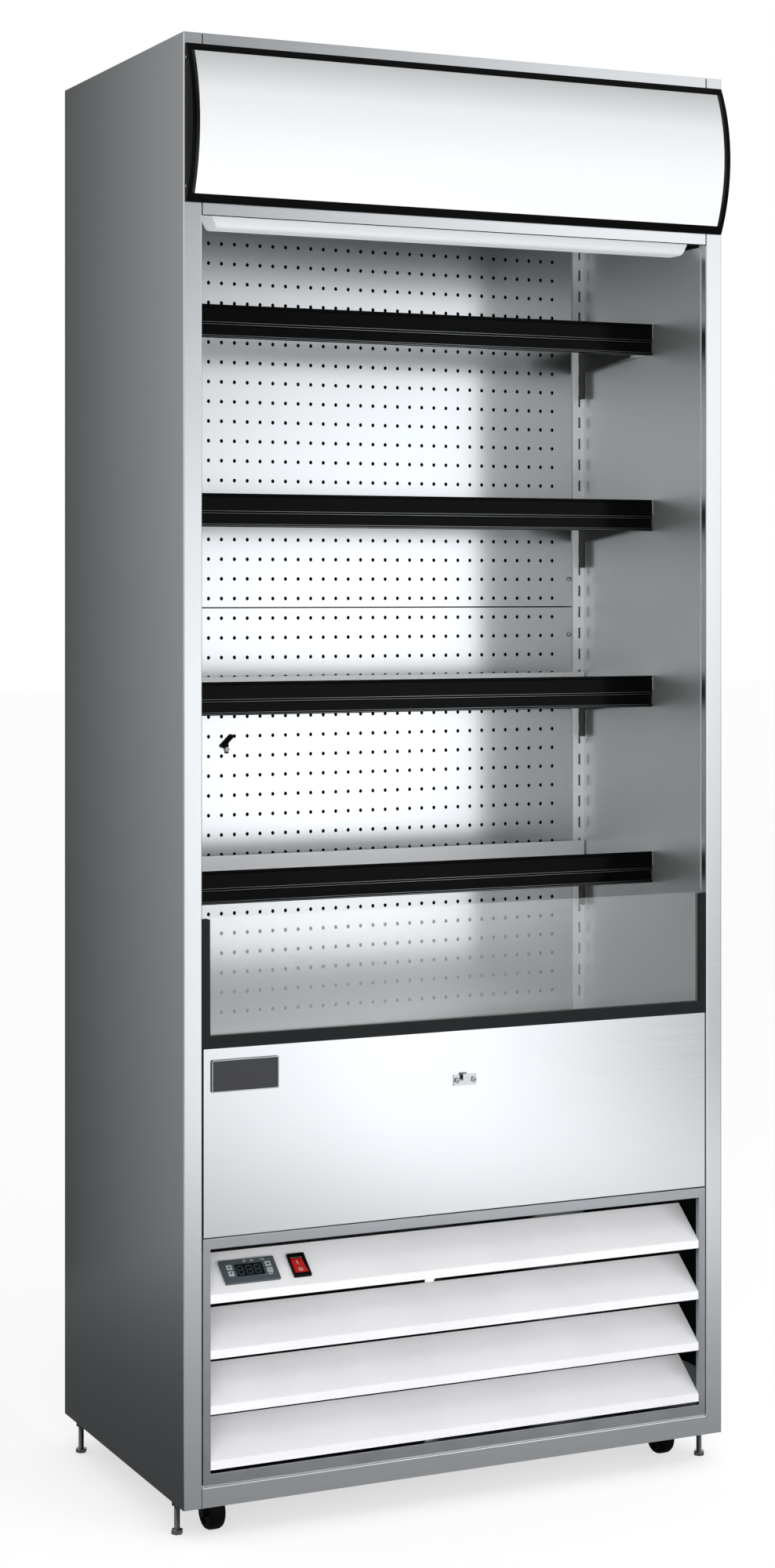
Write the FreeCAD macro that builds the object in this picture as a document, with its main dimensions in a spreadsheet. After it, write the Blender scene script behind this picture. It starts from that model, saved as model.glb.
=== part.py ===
import FreeCAD, Part
import math
import os
import types

import Sketcher

# An upright, open-front refrigerated display case, built as separate pieces.
# Millimetres; +Z is up, the open front faces -Y, and the origin lies on the floor
# under the middle of the whole case.

SIZES = {
    # Whole case
    "case_width": 830,
    "case_depth": 490,
    "case_height": 2000,
    "foot_height": 45,
    "skin": 1.2,
    "fold_radius": 1.8,
    "post_width": 26.5,
    "post_return": 17,
    "liner": 1.0,
    "liner_setback": 14,
    "rear_wall": 48,
    "rear_flange": 15,
    "ceiling_drop": 150,
    "seat_gap": 0.3,
    "slide_gap": 0.5,
    "running_gap": 0.05,
    # Base frame, feet and casters
    "base_height": 30,
    "base_plate": 3,
    "base_plate_setback": 3,
    "bar_width": 16,
    "bar_wall": 2,
    "plinth_flange": 20,
    "vent_width": 180,
    "vent_height": 6,
    "vent_pitch": 18,
    "vent_spread": 240,
    "vent_level": 140,
    "foot_side_inset": 9,
    "foot_end_inset": 48,
    "foot_rod_radius": 4.1,
    "foot_rod_top": 62,
    "foot_head_radius": 8.2,
    "foot_head": 6.5,
    "nut_radius": 7.4,
    "nut_height": 6.5,
    "caster_side_inset": 57,
    "caster_end_inset": 60,
    "caster_plate": 58,
    "caster_plate_thickness": 3,
    "caster_trail": 17,
    "kingpin_radius": 5,
    "kingpin_head_radius": 8,
    "kingpin_head": 2.5,
    "fork_crown_radius": 19,
    "fork_crown": 4,
    "fork_leg": 2,
    "fork_leg_width": 16,
    "wheel_radius": 25,
    "wheel_width": 24,
    "wheel_edge": 4,
    "wheel_lift": 1.5,
    "wheel_side_gap": 1,
    "axle_radius": 3,
    # Header and lamp
    "header_bulge": 28,
    "header_edge": 3,
    "header_top_gap": 15,
    "header_height": 210,
    "header_side_inset": 2.5,
    "header_top_border": 10,
    "header_bottom_border": 11,
    "header_end_border": 6,
    "lens": 2.5,
    "housing_depth": 4.7,
    "header_rail": 16.5,
    "rail_flange": 13,
    "lamp_front": 18,
    "lamp_width": 40,
    "lamp_height": 30,
    "lamp_end_gap": 12.5,
    "lamp_end_bevel": 15,
    "lamp_wall": 1.5,
    "lamp_edge": 7,
    "holder_plate": 2,
    "holder_reach": 20,
    "holder_drop": 18,
    # Night curtain
    "curtain_plane": 9,
    "roll_radius": 18.4,
    "roll_lift": 35,
    "roll_end_gap": 6,
    "roller_pin_radius": 5,
    "roller_pin_reach": 3,
    "curtain_bar_depth": 7.6,
    "curtain_bar_height": 16,
    "curtain_bar_lift": 1.5,
    "curtain_bar_end_gap": 4,
    "curtain_bar_edge": 2,
    # Rear baffles and shelf standards
    "duct_depth": 79,
    "baffle_sheet": 1.0,
    "baffle_return": 12,
    "baffle_top_gap": 50,
    "lower_baffle_height": 625,
    "baffle_seam_gap": 2,
    "hole_width": 4.8,
    "hole_height": 6.4,
    "hole_side_margin": 28,
    "hole_top_margin": 25,
    "hole_column_pitch": 20.375,
    "hole_row_pitch": 28.9,
    "hole_first_rise": 31.5,
    "hole_shift": -3,
    "baffle_screw_inset": 5,
    "baffle_screw_offset": 43,
    "standard_width": 19,
    "standard_depth": 82,
    "slot_inset": 7.8,
    "slot_width": 3.2,
    "slot_length": 16.5,
    "slot_pitch": 32.6875,
    "slot_first_rise": 28.4,
    "slot_top_margin": 30,
    # Shelves
    "shelf_count": 4,
    "lowest_shelf_slot": 6,
    "slots_above_shelves": 6,
    "slot_to_rail_top": 37.5,
    "shelf_front": 147,
    "shelf_end_gap": 1.5,
    "shelf_sheet": 1.0,
    "shelf_drop": 22,
    "shelf_skirt": 23.5,
    "shelf_rear_gap": 4,
    "price_rail_height": 46.5,
    "price_rail_depth": 9,
    "price_rail_face": 4.5,
    "price_rail_groove": 1.4,
    "price_rail_lip": 3,
    "price_rail_rib_level": 18.5,
    "price_rail_rib": 1.2,
    "bracket_sheet": 2.5,
    "bracket_front_gap": 48,
    "bracket_leg": 16,
    "bracket_leg_drop": 54,
    "bracket_slope_drop": 14,
    "bracket_tab": 14,
    "bracket_tab_reach": 5,
    # Glass front and lower front panel
    "glass_frame_height": 172,
    "glass_frame_side": 11,
    "glass_frame_base": 17,
    "glass_frame_wall": 3,
    "glass_sheet": 5,
    "glass_proud": 2,
    "glass_seat": 6,
    "glass_corner": 6,
    "panel_gap": 2,
    "panel_height": 250,
    "panel_side_gap": 2,
    "panel_depth": 29,
    "plate_width": 96.5,
    "plate_height": 43,
    "plate_thickness": 3,
    "plate_left": 10.5,
    "plate_top_gap": 15,
    "plate_corner": 2,
    "catch_width": 35,
    "catch_height": 15,
    "catch_sheet": 1.5,
    "catch_rise": 182,
    "catch_tongue_width": 12,
    "catch_tongue_reach": 6,
    "catch_lip": 9,
    "catch_screw_spacing": 25,
    # Machine bay front
    "grille_height": 326,
    "grille_side_gap": 1.2,
    "grille_side_member": 10.5,
    "grille_end_member": 14,
    "grille_depth": 8,
    "louvre_first_rise": 18.5,
    "louvre_pitch": 73.6,
    "louvre_lip": 11.5,
    "louvre_depth": 55.5,
    "louvre_rise": 43.27,
    "louvre_sheet": 1.2,
    "louvre_inset": 1,
    "control_front": 13.3,
    "control_height": 38,
    "control_bezel": 4,
    "controller_left": 64.6,
    "controller_width": 79,
    "controller_margin": 4,
    "controller_body": 25,
    "display_left": 19.4,
    "display_width": 40.4,
    "display_bottom": 9.5,
    "display_height": 20.4,
    "display_recess": 0.6,
    "button_width": 8,
    "button_height": 7.6,
    "button_inset": 11.4,
    "button_low": 14.8,
    "button_step": 10.6,
    "button_proud": 0.9,
    "button_depth": 2.4,
    "button_travel": 0.8,
    "switch_left": 164,
    "switch_width": 25,
    "switch_frame": 2.4,
    "switch_body": 22,
    "rocker_depth": 9,
    "rocker_tilt": 2.2,
    "rocker_dip": 0.8,
    "rocker_end_gap": 1.2,
    "rocker_proud": 2.4,
    "rocker_pin_radius": 1.2,
    "rocker_pin_reach": 1.2,
    # Well, deck and cooling machinery
    "well_front": 30,
    "well_floor_gap": 1,
    "well_sheet": 1.0,
    "well_front_gap": 13,
    "well_rear_gap": 11,
    "deck_drop": 42,
    "deck_front": 60,
    "deck_skirt": 25,
    "coil_half_length": 280,
    "coil_front": 200,
    "coil_depth": 90,
    "coil_clear": 20,
    "coil_height": 100,
    "coil_end_plate": 2,
    "coil_tube_radius": 5,
    "coil_tube_reach": 15,
    "fan_plate_front": 150,
    "fan_plate_width": 420,
    "fan_plate_sheet": 2,
    "well_fan_radius": 68,
    "well_fan_rise": 91,
    "fan_tip_gap": 5,
    "fan_hub_radius": 16,
    "fan_hub_depth": 16,
    "fan_shaft_radius": 4,
    "fan_blade": 2,
    "fan_blade_chord": 34,
    "fan_blade_angle": 22,
    "fan_blades": 5,
    "motor_radius": 24,
    "motor_length": 40,
    "motor_gap": 3,
    "motor_strut": 8,
    "condenser_left": 75,
    "condenser_width": 320,
    "condenser_front": 85,
    "condenser_depth": 40,
    "condenser_height": 270,
    "shroud_depth": 50,
    "shroud_sheet": 2,
    "bay_fan_radius": 112,
    "compressor_right": 230,
    "compressor_setback": 300,
    "compressor_radius": 80,
    "compressor_height": 175,
    "compressor_dome": 45,
    "compressor_foot": 18,
    "compressor_foot_plate": 4,
    "compressor_stub_radius": 6,
    "compressor_stub": 40,
    # Probe and screws
    "probe_right": 206,
    "probe_rise": 429,
    "probe_radius": 3,
    "probe_length": 24,
    "probe_tilt": 45,
    "clip_sheet": 1.0,
    "clip_width": 6,
    "clip_tail": 12,
    "screw_head_radius": 3.6,
    "screw_head": 2,
    "screw_shank_radius": 1.8,
    "screw_length": 8,
    "cap_screw_radius": 2.2,
    "cap_screw_head": 1.0,
    "cap_screw_length": 5,
    "cap_screw_inset": 20,
    "cap_screw_setback": 4,
}

doc = FreeCAD.newDocument("display_case")
sheet = doc.addObject("Spreadsheet::Sheet", "Sizes")
for row, (alias, number) in enumerate(SIZES.items(), start=1):
    sheet.set(f"A{row}", alias)
    sheet.set(f"B{row}", str(number))
    sheet.setAlias(f"B{row}", alias)
doc.recompute()


class Size:
    """A measure that carries its value and the sheet expression it comes from."""

    def __init__(self, value, text):
        self.value = value
        self.text = text

    def __add__(self, other):
        other = measure(other)
        return Size(self.value + other.value, f"({self.text} + {other.text})")

    def __sub__(self, other):
        other = measure(other)
        return Size(self.value - other.value, f"({self.text} - {other.text})")

    def __mul__(self, other):
        other = measure(other)
        return Size(self.value * other.value, f"({self.text} * {other.text})")

    def __truediv__(self, other):
        other = measure(other)
        return Size(self.value / other.value, f"({self.text} / {other.text})")

    def __neg__(self):
        return Size(-self.value, f"(0 - {self.text})")

    __radd__ = __add__
    __rmul__ = __mul__


def measure(number):
    """The number as a Size."""
    return number if isinstance(number, Size) else Size(number, f"({number})")


def root(size):
    """The square root of a size."""
    return Size(math.sqrt(size.value), f"sqrt({size.text})")


d = types.SimpleNamespace(**{alias: Size(sheet.get(alias), f"Sizes.{alias}") for alias in SIZES})

SIDES = {"left": -1, "right": 1}
ENDS = {"front": -1, "rear": 1}
TURN_TO_AXIS = {
    "X": FreeCAD.Rotation(FreeCAD.Vector(0, 1, 0), 90),
    "Y": FreeCAD.Rotation(FreeCAD.Vector(1, 0, 0), -90),
    "Z": FreeCAD.Rotation(),
}

pieces = []


def piece(item, label):
    """Lists an object as one of the case's pieces, under its own label."""
    item.Label = label
    pieces.append(item)
    return item


def bind(item, name, size):
    item.setExpression(name, measure(size).text)


def place(item, x, y, z):
    for axis, size in (("x", x), ("y", y), ("z", z)):
        bind(item, f"Placement.Base.{axis}", size)


def across(half):
    """The span that reaches as far to the left as to the right."""
    return (-half, half)


def sided(side, near, far):
    """The span from near to far of the middle plane, on the left (-1) or the right (1)."""
    return (near, far) if side > 0 else (-far, -near)


def block(name, x, y, z):
    """A box given by its (low, high) span along each axis."""
    item = doc.addObject("Part::Box", name)
    for edge, span in (("Length", x), ("Width", y), ("Height", z)):
        bind(item, edge, measure(span[1]) - span[0])
    place(item, x[0], y[0], z[0])
    return item


def rod(name, radius, axis, span, across_first, across_second):
    """A cylinder along an axis; its centre is given on the two other axes in X, Y, Z order."""
    item = doc.addObject("Part::Cylinder", name)
    bind(item, "Radius", radius)
    bind(item, "Height", measure(span[1]) - span[0])
    item.Placement = FreeCAD.Placement(FreeCAD.Vector(), TURN_TO_AXIS[axis])
    centre = [across_first, across_second]
    centre.insert("XYZ".index(axis), span[0])
    place(item, *centre)
    return item


def hexagon(name, radius, span, x, y):
    """An upright hexagonal prism."""
    item = doc.addObject("Part::Prism", name)
    item.Polygon = 6
    bind(item, "Circumradius", radius)
    bind(item, "Height", measure(span[1]) - span[0])
    place(item, x, y, span[0])
    return item


def join(name, *items):
    item = doc.addObject("Part::MultiFuse", name)
    item.Shapes = list(items)
    item.Refine = True
    return item


def gather(name, *items):
    """Separate solids of one kind, kept together as one piece."""
    item = doc.addObject("Part::Compound", name)
    item.Links = list(items)
    return item


def cut(name, base, *tools):
    item = doc.addObject("Part::Cut", name)
    item.Base = base
    item.Tool = tools[0] if len(tools) == 1 else join(f"{name}_tools", *tools)
    return item


def overlap(name, base, tool):
    item = doc.addObject("Part::Common", name)
    item.Base = base
    item.Tool = tool
    return item


def profile(name, plane, outline, span):
    """A body whose outline lies in an origin plane and is padded over span, low to high."""
    body = doc.addObject("PartDesign::Body", name)
    sketch = body.newObject("Sketcher::SketchObject", f"{name}_outline")
    sketch.AttachmentSupport = [(feature, "") for feature in body.Origin.OriginFeatures if feature.Role == plane]
    sketch.MapMode = "FlatFace"
    bind(sketch, "AttachmentOffset.Base.z", -measure(span[1]) if plane == "XZ_Plane" else span[0])
    corners = [(measure(u), measure(v)) for u, v in outline]
    points = [FreeCAD.Vector(u.value, v.value, 0) for u, v in corners]
    for start, end in zip(points, points[1:] + points[:1]):
        sketch.addGeometry(Part.LineSegment(start, end), False)
    for index, (u, v) in enumerate(corners):
        sketch.addConstraint(Sketcher.Constraint("Coincident", index, 2, (index + 1) % len(corners), 1))
        for kind, size in (("DistanceX", u), ("DistanceY", v)):
            constraint = sketch.addConstraint(Sketcher.Constraint(kind, -1, 1, index, 1, size.value))
            bind(sketch, f"Constraints[{constraint}]", size)
    pad = body.newObject("PartDesign::Pad", f"{name}_pad")
    pad.Profile = sketch
    bind(pad, "Length", measure(span[1]) - span[0])
    return body


def fold(body, radius, chosen):
    """Rounds the edges of a body whose middle point is chosen."""
    doc.recompute()
    base = body.Tip
    edges = enumerate(base.Shape.Edges, start=1)
    fillet = body.newObject("PartDesign::Fillet", f"{body.Name}_fold")
    fillet.Base = (base, [f"Edge{index}" for index, edge in edges if chosen(edge.BoundBox)])
    bind(fillet, "Radius", radius)
    body.Tip = fillet
    return body


def soften(name, base, radius, chosen):
    """A copy of a solid with the chosen edges rounded."""
    doc.recompute()
    item = doc.addObject("Part::Fillet", name)
    item.Base = base
    edges = enumerate(base.Shape.Edges, start=1)
    item.Edges = [(index, radius.value, radius.value) for index, edge in edges if chosen(edge.BoundBox)]
    return item


def near(number, size):
    return abs(number - size.value) < 1e-6


def holed_sheet(name, x, y, z, holes):
    """An upright sheet across Y with (x, z, wide, tall) oval or square holes right through it."""
    corners = [(x[0], z[0]), (x[1], z[0]), (x[1], z[1]), (x[0], z[1]), (x[0], z[0])]
    outer = Part.makePolygon([FreeCAD.Vector(u.value, y[0].value, v.value) for u, v in corners])
    sheet_face = Part.makeFace([outer] + holes, "Part::FaceMakerBullseye")
    item = doc.addObject("Part::Feature", name)
    item.Shape = sheet_face.extrude(FreeCAD.Vector(0, (y[1] - y[0]).value, 0))
    return item


def perforated(name, x, y, z, levels, holes):
    """An upright sheet across Y, sewn from bands that end at the given levels; a hole is (level, wire)."""
    depth = FreeCAD.Vector(0, (y[1] - y[0]).value, 0)
    near_end, far_end = x[0].value, x[1].value
    edges = [z[0].value] + levels + [z[1].value]
    faces = []
    for low, high in zip(edges, edges[1:]):
        corners = [(near_end, low), (far_end, low), (far_end, high), (near_end, high), (near_end, low)]
        outer = Part.makePolygon([FreeCAD.Vector(u, y[0].value, v) for u, v in corners])
        punched = [wire for level, wire in holes if low < level < high]
        face = Part.makeFace([outer] + punched, "Part::FaceMakerBullseye")
        faces.extend([face, face.translated(depth)])
        rims = punched + [outer.Edges[1], outer.Edges[3]]
        rims.extend([outer.Edges[0]] if low == edges[0] else [])
        rims.extend([outer.Edges[2]] if high == edges[-1] else [])
        for rim in rims:
            faces.extend(rim.extrude(depth).Faces)
    skin = Part.makeCompound(faces)
    skin.sewShape()
    item = doc.addObject("Part::Feature", name)
    item.Shape = Part.makeSolid(skin.Shells[0])
    return item


def oval(x, y, z, wide, tall):
    """An upright long hexagon wire across Y, for a small punched oval."""
    corners = [(0, 2), (1, 1), (1, -1), (0, -2), (-1, -1), (-1, 1), (0, 2)]
    return Part.makePolygon([FreeCAD.Vector(x + u * wide / 2, y, z + v * tall / 4) for u, v in corners])


def round_hole(x, y, z, radius):
    """A round wire across Y."""
    return Part.Wire(Part.makeCircle(radius, FreeCAD.Vector(x, y, z), FreeCAD.Vector(0, 1, 0)))


def slot(x, y, z, wide, tall):
    """An upright square-ended slot wire across Y."""
    corners = [(-1, -1), (1, -1), (1, 1), (-1, 1), (-1, -1)]
    return Part.makePolygon([FreeCAD.Vector(x + u * wide / 2, y, z + v * tall / 2) for u, v in corners])


# Levels and planes that the pieces share.
half_width = d.case_width / 2
front = (d.header_bulge - d.case_depth) / 2
rear = (d.header_bulge + d.case_depth) / 2
left = -half_width
underside = d.foot_height
roof = d.case_height - d.skin
opening = half_width - d.post_width
liner_face = opening - d.liner
wall_inside = half_width - d.skin
liner_rear = rear - d.rear_wall
base_top = underside + d.base_height
plate_low = base_top - d.base_plate

# Levels of the header, the lamp and the curtain, counted down from the top.
header_top = d.case_height - d.header_top_gap
header_bottom = header_top - d.header_height
header_rail_bottom = header_bottom - d.header_rail
ceiling_level = d.case_height - d.ceiling_drop
lamp_top = header_bottom
lamp_bottom = lamp_top - d.lamp_height
lamp_half_length = liner_face - d.lamp_end_gap
roll_level = header_bottom + d.roll_lift
curtain_bar_bottom = header_rail_bottom + d.curtain_bar_lift
baffle_top = ceiling_level - d.baffle_top_gap

# Levels of the louvres, the front panel, the glass and the deck, counted up from the base.
louvre_first = base_top + d.louvre_first_rise
grille_top = base_top + d.grille_height
panel_bottom = grille_top + d.panel_gap
panel_top = panel_bottom + d.panel_height
glass_frame_top = panel_top + d.glass_frame_height
glass_top = glass_frame_top + d.glass_proud
catch_level = panel_bottom + d.catch_rise
well_floor = panel_bottom + d.well_floor_gap
well_fan_level = well_floor + d.well_fan_rise
well_front_top = panel_top - d.well_front_gap
deck_level = panel_top - d.deck_drop
well_rear_top = deck_level - d.well_rear_gap
baffle_seam = deck_level + d.lower_baffle_height
hole_first_row = deck_level + d.hole_first_rise
slot_first = deck_level + d.slot_first_rise
probe_level = deck_level + d.probe_rise

# Side panels: outer skin, front post face and its return, folded from one sheet.
for name, side in SIDES.items():
    outline = [
        (half_width, rear),
        (half_width, front),
        (opening, front),
        (opening, front + d.post_return),
        (opening + d.skin, front + d.post_return),
        (opening + d.skin, front + d.skin),
        (wall_inside, front + d.skin),
        (wall_inside, rear),
    ]
    panel = profile(f"{name}_side_panel", "XY_Plane", [(side * x, y) for x, y in outline], (underside, roof))
    fold(panel, d.fold_radius, lambda box: near(box.YMax, front) and box.ZLength > 1 and box.XLength < 1)
    piece(panel, f"{name}_side_panel")

piece(block("top_panel", across(half_width), (front, rear), (roof, d.case_height)), "top_panel")

# Rear panel: a sheet folded forward inside the side skins, with two columns of vents low down.
rear_outline = [
    (-wall_inside, rear),
    (-wall_inside, rear - d.rear_flange),
    (d.skin - wall_inside, rear - d.rear_flange),
    (d.skin - wall_inside, rear - d.skin),
    (wall_inside - d.skin, rear - d.skin),
    (wall_inside - d.skin, rear - d.rear_flange),
    (wall_inside, rear - d.rear_flange),
    (wall_inside, rear),
]
rear_sheet = profile("rear_sheet", "XY_Plane", rear_outline, (base_top, roof))
vents = []
for row in range(10):
    low = d.vent_level + row * d.vent_pitch
    for name, side in SIDES.items():
        middle = side * d.vent_spread / 2
        vent_span = (middle - d.vent_width / 2, middle + d.vent_width / 2)
        vent_depth = (rear - d.rear_flange / 2, rear + d.rear_flange / 2)
        vents.append(block(f"vent_{name}_{row}", vent_span, vent_depth, (low, low + d.vent_height)))
piece(cut("rear_panel", rear_sheet, *vents), "rear_panel")

# Base frame: floor plate on two hollow side bars, with the plinth rail in front and a rail behind.
behind_post = front + d.post_return + d.seat_gap
plate_outline = [
    (-opening, front + d.base_plate_setback),
    (opening, front + d.base_plate_setback),
    (opening, behind_post),
    (wall_inside, behind_post),
    (wall_inside, rear),
    (-wall_inside, rear),
    (-wall_inside, behind_post),
    (-opening, behind_post),
]
frame_parts = [profile("base_floor", "XY_Plane", plate_outline, (plate_low, base_top))]
plinth_outline = [
    (front, underside),
    (front, plate_low),
    (front + d.plinth_flange, plate_low),
    (front + d.plinth_flange, plate_low - d.skin),
    (front + d.skin, plate_low - d.skin),
    (front + d.skin, underside),
]
plinth = profile("plinth", "YZ_Plane", plinth_outline, across(opening))
fold(plinth, d.fold_radius, lambda box: near(box.YMax, front) and near(box.ZMin, plate_low))
frame_parts.append(plinth)
frame_parts.append(block("rear_rail", across(wall_inside), (rear - d.skin, rear), (underside, plate_low)))
bar_inside = wall_inside - d.bar_width
for name, side in SIDES.items():
    bar = block(f"{name}_bar", sided(side, bar_inside, wall_inside), (behind_post, rear), (underside, plate_low))
    bore_x = sided(side, bar_inside + d.bar_wall, wall_inside - d.bar_wall)
    bore = block(f"{name}_bar_bore", bore_x, (behind_post, rear - d.skin), (underside + d.bar_wall, plate_low))
    frame_parts.append(cut(f"{name}_hollow_bar", bar, bore))

foot_hole = d.foot_rod_radius + d.running_gap
foot_places = {}
foot_holes = []
for end, toward in ENDS.items():
    foot_y = front + d.foot_end_inset if toward < 0 else rear - d.foot_end_inset
    for name, side in SIDES.items():
        foot_x = side * (half_width - d.foot_side_inset)
        foot_places[f"{end}_{name}"] = (foot_x, foot_y)
        hole = rod(f"foot_hole_{end}_{name}", foot_hole, "Z", (underside - 1, base_top + 1), foot_x, foot_y)
        foot_holes.append(hole)
piece(cut("base_frame", join("base_weldment", *frame_parts), *foot_holes), "base_frame")

# Levelling feet: bolts head down, threaded up through the side bars, each with a lock nut.
screws = []
for name, (foot_x, foot_y) in foot_places.items():
    head = hexagon(f"foot_head_{name}", d.foot_head_radius, (measure(0), d.foot_head), foot_x, foot_y)
    shaft = rod(f"foot_rod_{name}", d.foot_rod_radius, "Z", (d.foot_head / 2, d.foot_rod_top), foot_x, foot_y)
    piece(join(f"levelling_foot_{name}", head, shaft), f"levelling_foot_{name}")
    nut = hexagon(f"nut_{name}", d.nut_radius, (underside - d.nut_height, underside), foot_x, foot_y)
    bore = rod(f"nut_bore_{name}", foot_hole, "Z", (underside - d.nut_height - 1, underside + 1), foot_x, foot_y)
    screws.append(cut(f"lock_nut_{name}", nut, bore))

# Casters: fixed plates under the floor, swivel forks in front, rigid forks behind, plastic wheels.
plate_bottom = plate_low - d.caster_plate_thickness
crown_top = plate_bottom - d.seat_gap
crown_bottom = crown_top - d.fork_crown
axle_level = d.wheel_radius + d.wheel_lift
leg_inside = d.wheel_width / 2 + d.wheel_side_gap
leg_outside = leg_inside + d.fork_leg
half_plate = d.caster_plate / 2
caster_x = half_width - d.caster_side_inset
caster_plates = []
caster_wheels = []


def fork_legs(name, x, y, axle_y, top_level):
    """Two leg plates from under a crown down to the axle, with the axle between them."""
    lean = d.fork_crown_radius * 0.7
    tip = d.fork_leg_width / 2
    outline = [
        (y - lean, top_level),
        (y + lean, top_level),
        (axle_y + tip, axle_level),
        (axle_y + tip / 2, axle_level - tip),
        (axle_y - tip / 2, axle_level - tip),
        (axle_y - tip, axle_level),
    ]
    legs = []
    for side_name, side in SIDES.items():
        span = sided(side, leg_inside, leg_outside)
        legs.append(profile(f"{name}_{side_name}_leg", "YZ_Plane", outline, (x + span[0], x + span[1])))
    axle_span = (x - leg_outside, x + leg_outside)
    legs.append(rod(f"{name}_axle", d.axle_radius, "X", axle_span, axle_y, axle_level))
    return legs


def wheel(name, x, y):
    tread = rod(f"{name}_tread", d.wheel_radius, "X", (x - d.wheel_width / 2, x + d.wheel_width / 2), y, axle_level)
    rounded = soften(f"{name}_rounded", tread, d.wheel_edge, lambda box: box.XLength < 1)
    bore_span = (x - d.wheel_width, x + d.wheel_width)
    bore = rod(f"{name}_bore", d.axle_radius + d.running_gap, "X", bore_span, y, axle_level)
    caster_wheels.append(piece(cut(name, rounded, bore), name))


for name, side in SIDES.items():
    x = side * caster_x
    front_y = front + d.caster_end_inset
    rear_y = rear - d.caster_end_inset
    plate_x = (x - half_plate, x + half_plate)
    front_plate = block(
        f"front_plate_{name}", plate_x, (front_y - half_plate, front_y + half_plate), (plate_bottom, plate_low)
    )
    head_low = crown_bottom - d.seat_gap - d.kingpin_head
    kingpin = rod(f"kingpin_{name}", d.kingpin_radius, "Z", (head_low, plate_low), x, front_y)
    pin_head = rod(
        f"pin_head_{name}", d.kingpin_head_radius, "Z", (head_low, head_low + d.kingpin_head), x, front_y
    )
    caster_plates.append(join(f"front_caster_plate_{name}", front_plate, kingpin, pin_head))

    # The left fork trails forward and the right fork trails back.
    axle_y = front_y + side * d.caster_trail
    crown = rod(f"crown_{name}", d.fork_crown_radius, "Z", (crown_bottom, crown_top), x, front_y)
    fork = join(f"fork_{name}", crown, *fork_legs(f"fork_{name}", x, front_y, axle_y, crown_top))
    pin_hole = rod(
        f"pin_hole_{name}", d.kingpin_radius + d.running_gap, "Z", (crown_bottom - 1, crown_top + 1), x, front_y
    )
    piece(cut(f"caster_fork_{name}", fork, pin_hole), f"caster_fork_{name}")
    wheel(f"front_wheel_{name}", x, axle_y)

    rear_plate = block(
        f"rear_plate_{name}", plate_x, (rear_y - half_plate, rear_y + half_plate), (plate_bottom, plate_low)
    )
    rigid_legs = fork_legs(f"rigid_fork_{name}", x, rear_y, rear_y, plate_bottom + d.caster_plate_thickness / 2)
    caster_plates.append(join(f"rear_caster_{name}", rear_plate, *rigid_legs))
    wheel(f"rear_wheel_{name}", x, rear_y)
piece(gather("caster_plates", *caster_plates), "caster_plates")

# Inner liner: a sheet on each side wall, and one across the back of the air duct.
roller_y = front + d.curtain_plane + d.roll_radius
pin_hole = rod(
    "roller_pin_holes", d.roller_pin_radius + d.running_gap, "X", across(half_width), roller_y, roll_level
)
liner_sheets = []
for name, side in SIDES.items():
    wall = block(
        f"{name}_liner_sheet", sided(side, liner_face, opening), (front + d.liner_setback, liner_rear),
        (panel_bottom, roof),
    )
    liner_sheets.append(cut(f"{name}_liner", wall, pin_hole))
liner_sheets.append(
    block("rear_liner", across(opening), (liner_rear, liner_rear + d.liner), (panel_bottom, roof))
)
piece(gather("inner_liner", *liner_sheets), "inner_liner")

piece(
    block(
        "ceiling_panel", across(liner_face), (front + d.liner_setback, liner_rear),
        (ceiling_level, ceiling_level + d.liner),
    ),
    "ceiling_panel",
)

# Front cross rails: an angle above the header and another below it, between the posts.
top_rail_outline = [
    (front, header_top),
    (front, roof),
    (front + d.rail_flange, roof),
    (front + d.rail_flange, roof - d.skin),
    (front + d.skin, roof - d.skin),
    (front + d.skin, header_top),
]
header_rail_outline = [
    (front, header_rail_bottom),
    (front, header_bottom),
    (front + d.housing_depth, header_bottom),
    (front + d.housing_depth, header_bottom - d.skin),
    (front + d.skin, header_bottom - d.skin),
    (front + d.skin, header_rail_bottom),
]
top_rail = profile("top_rail", "YZ_Plane", top_rail_outline, across(opening))
header_rail = profile("header_rail", "YZ_Plane", header_rail_outline, across(opening))
piece(gather("front_cross_rails", top_rail, header_rail), "front_cross_rails")

# Header: a shallow tray between the posts, a curved lens, and a black trim that follows the curve.
header_half = half_width - d.header_side_inset
lens_half = header_half - d.header_end_border
lens_low = header_bottom + d.header_bottom_border
lens_high = header_top - d.header_top_border
tray_half = opening - d.seat_gap
header_levels = (header_bottom, header_top)
tray = block("header_tray", across(tray_half), (front, front + d.housing_depth), header_levels)
tray_hollow = block(
    "header_tray_hollow", across(tray_half - d.skin), (front - 1, front + d.housing_depth - d.skin),
    (header_bottom + d.skin, header_top - d.skin),
)
piece(cut("header_housing", tray, tray_hollow), "header_housing")

sag = d.header_bulge - d.header_edge
curve_radius = (d.header_height * d.header_height / 4 + sag * sag) / (2 * sag)
curve_y = front - d.header_bulge + curve_radius
curve_z = (header_top + header_bottom) / 2
header_depth = (front - d.header_bulge, front)


def curved(name, x, z, hollow=None):
    """The part of the header's barrel curve inside the given spans; hollow leaves a skin that thick."""
    barrel = rod(f"{name}_barrel", curve_radius, "X", x, curve_y, curve_z)
    if hollow:
        inside = rod(f"{name}_inside", curve_radius - hollow, "X", (x[0] - 1, x[1] + 1), curve_y, curve_z)
        barrel = cut(f"{name}_skin", barrel, inside)
    return overlap(f"{name}_curve", barrel, block(f"{name}_limits", x, header_depth, z))


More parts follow.
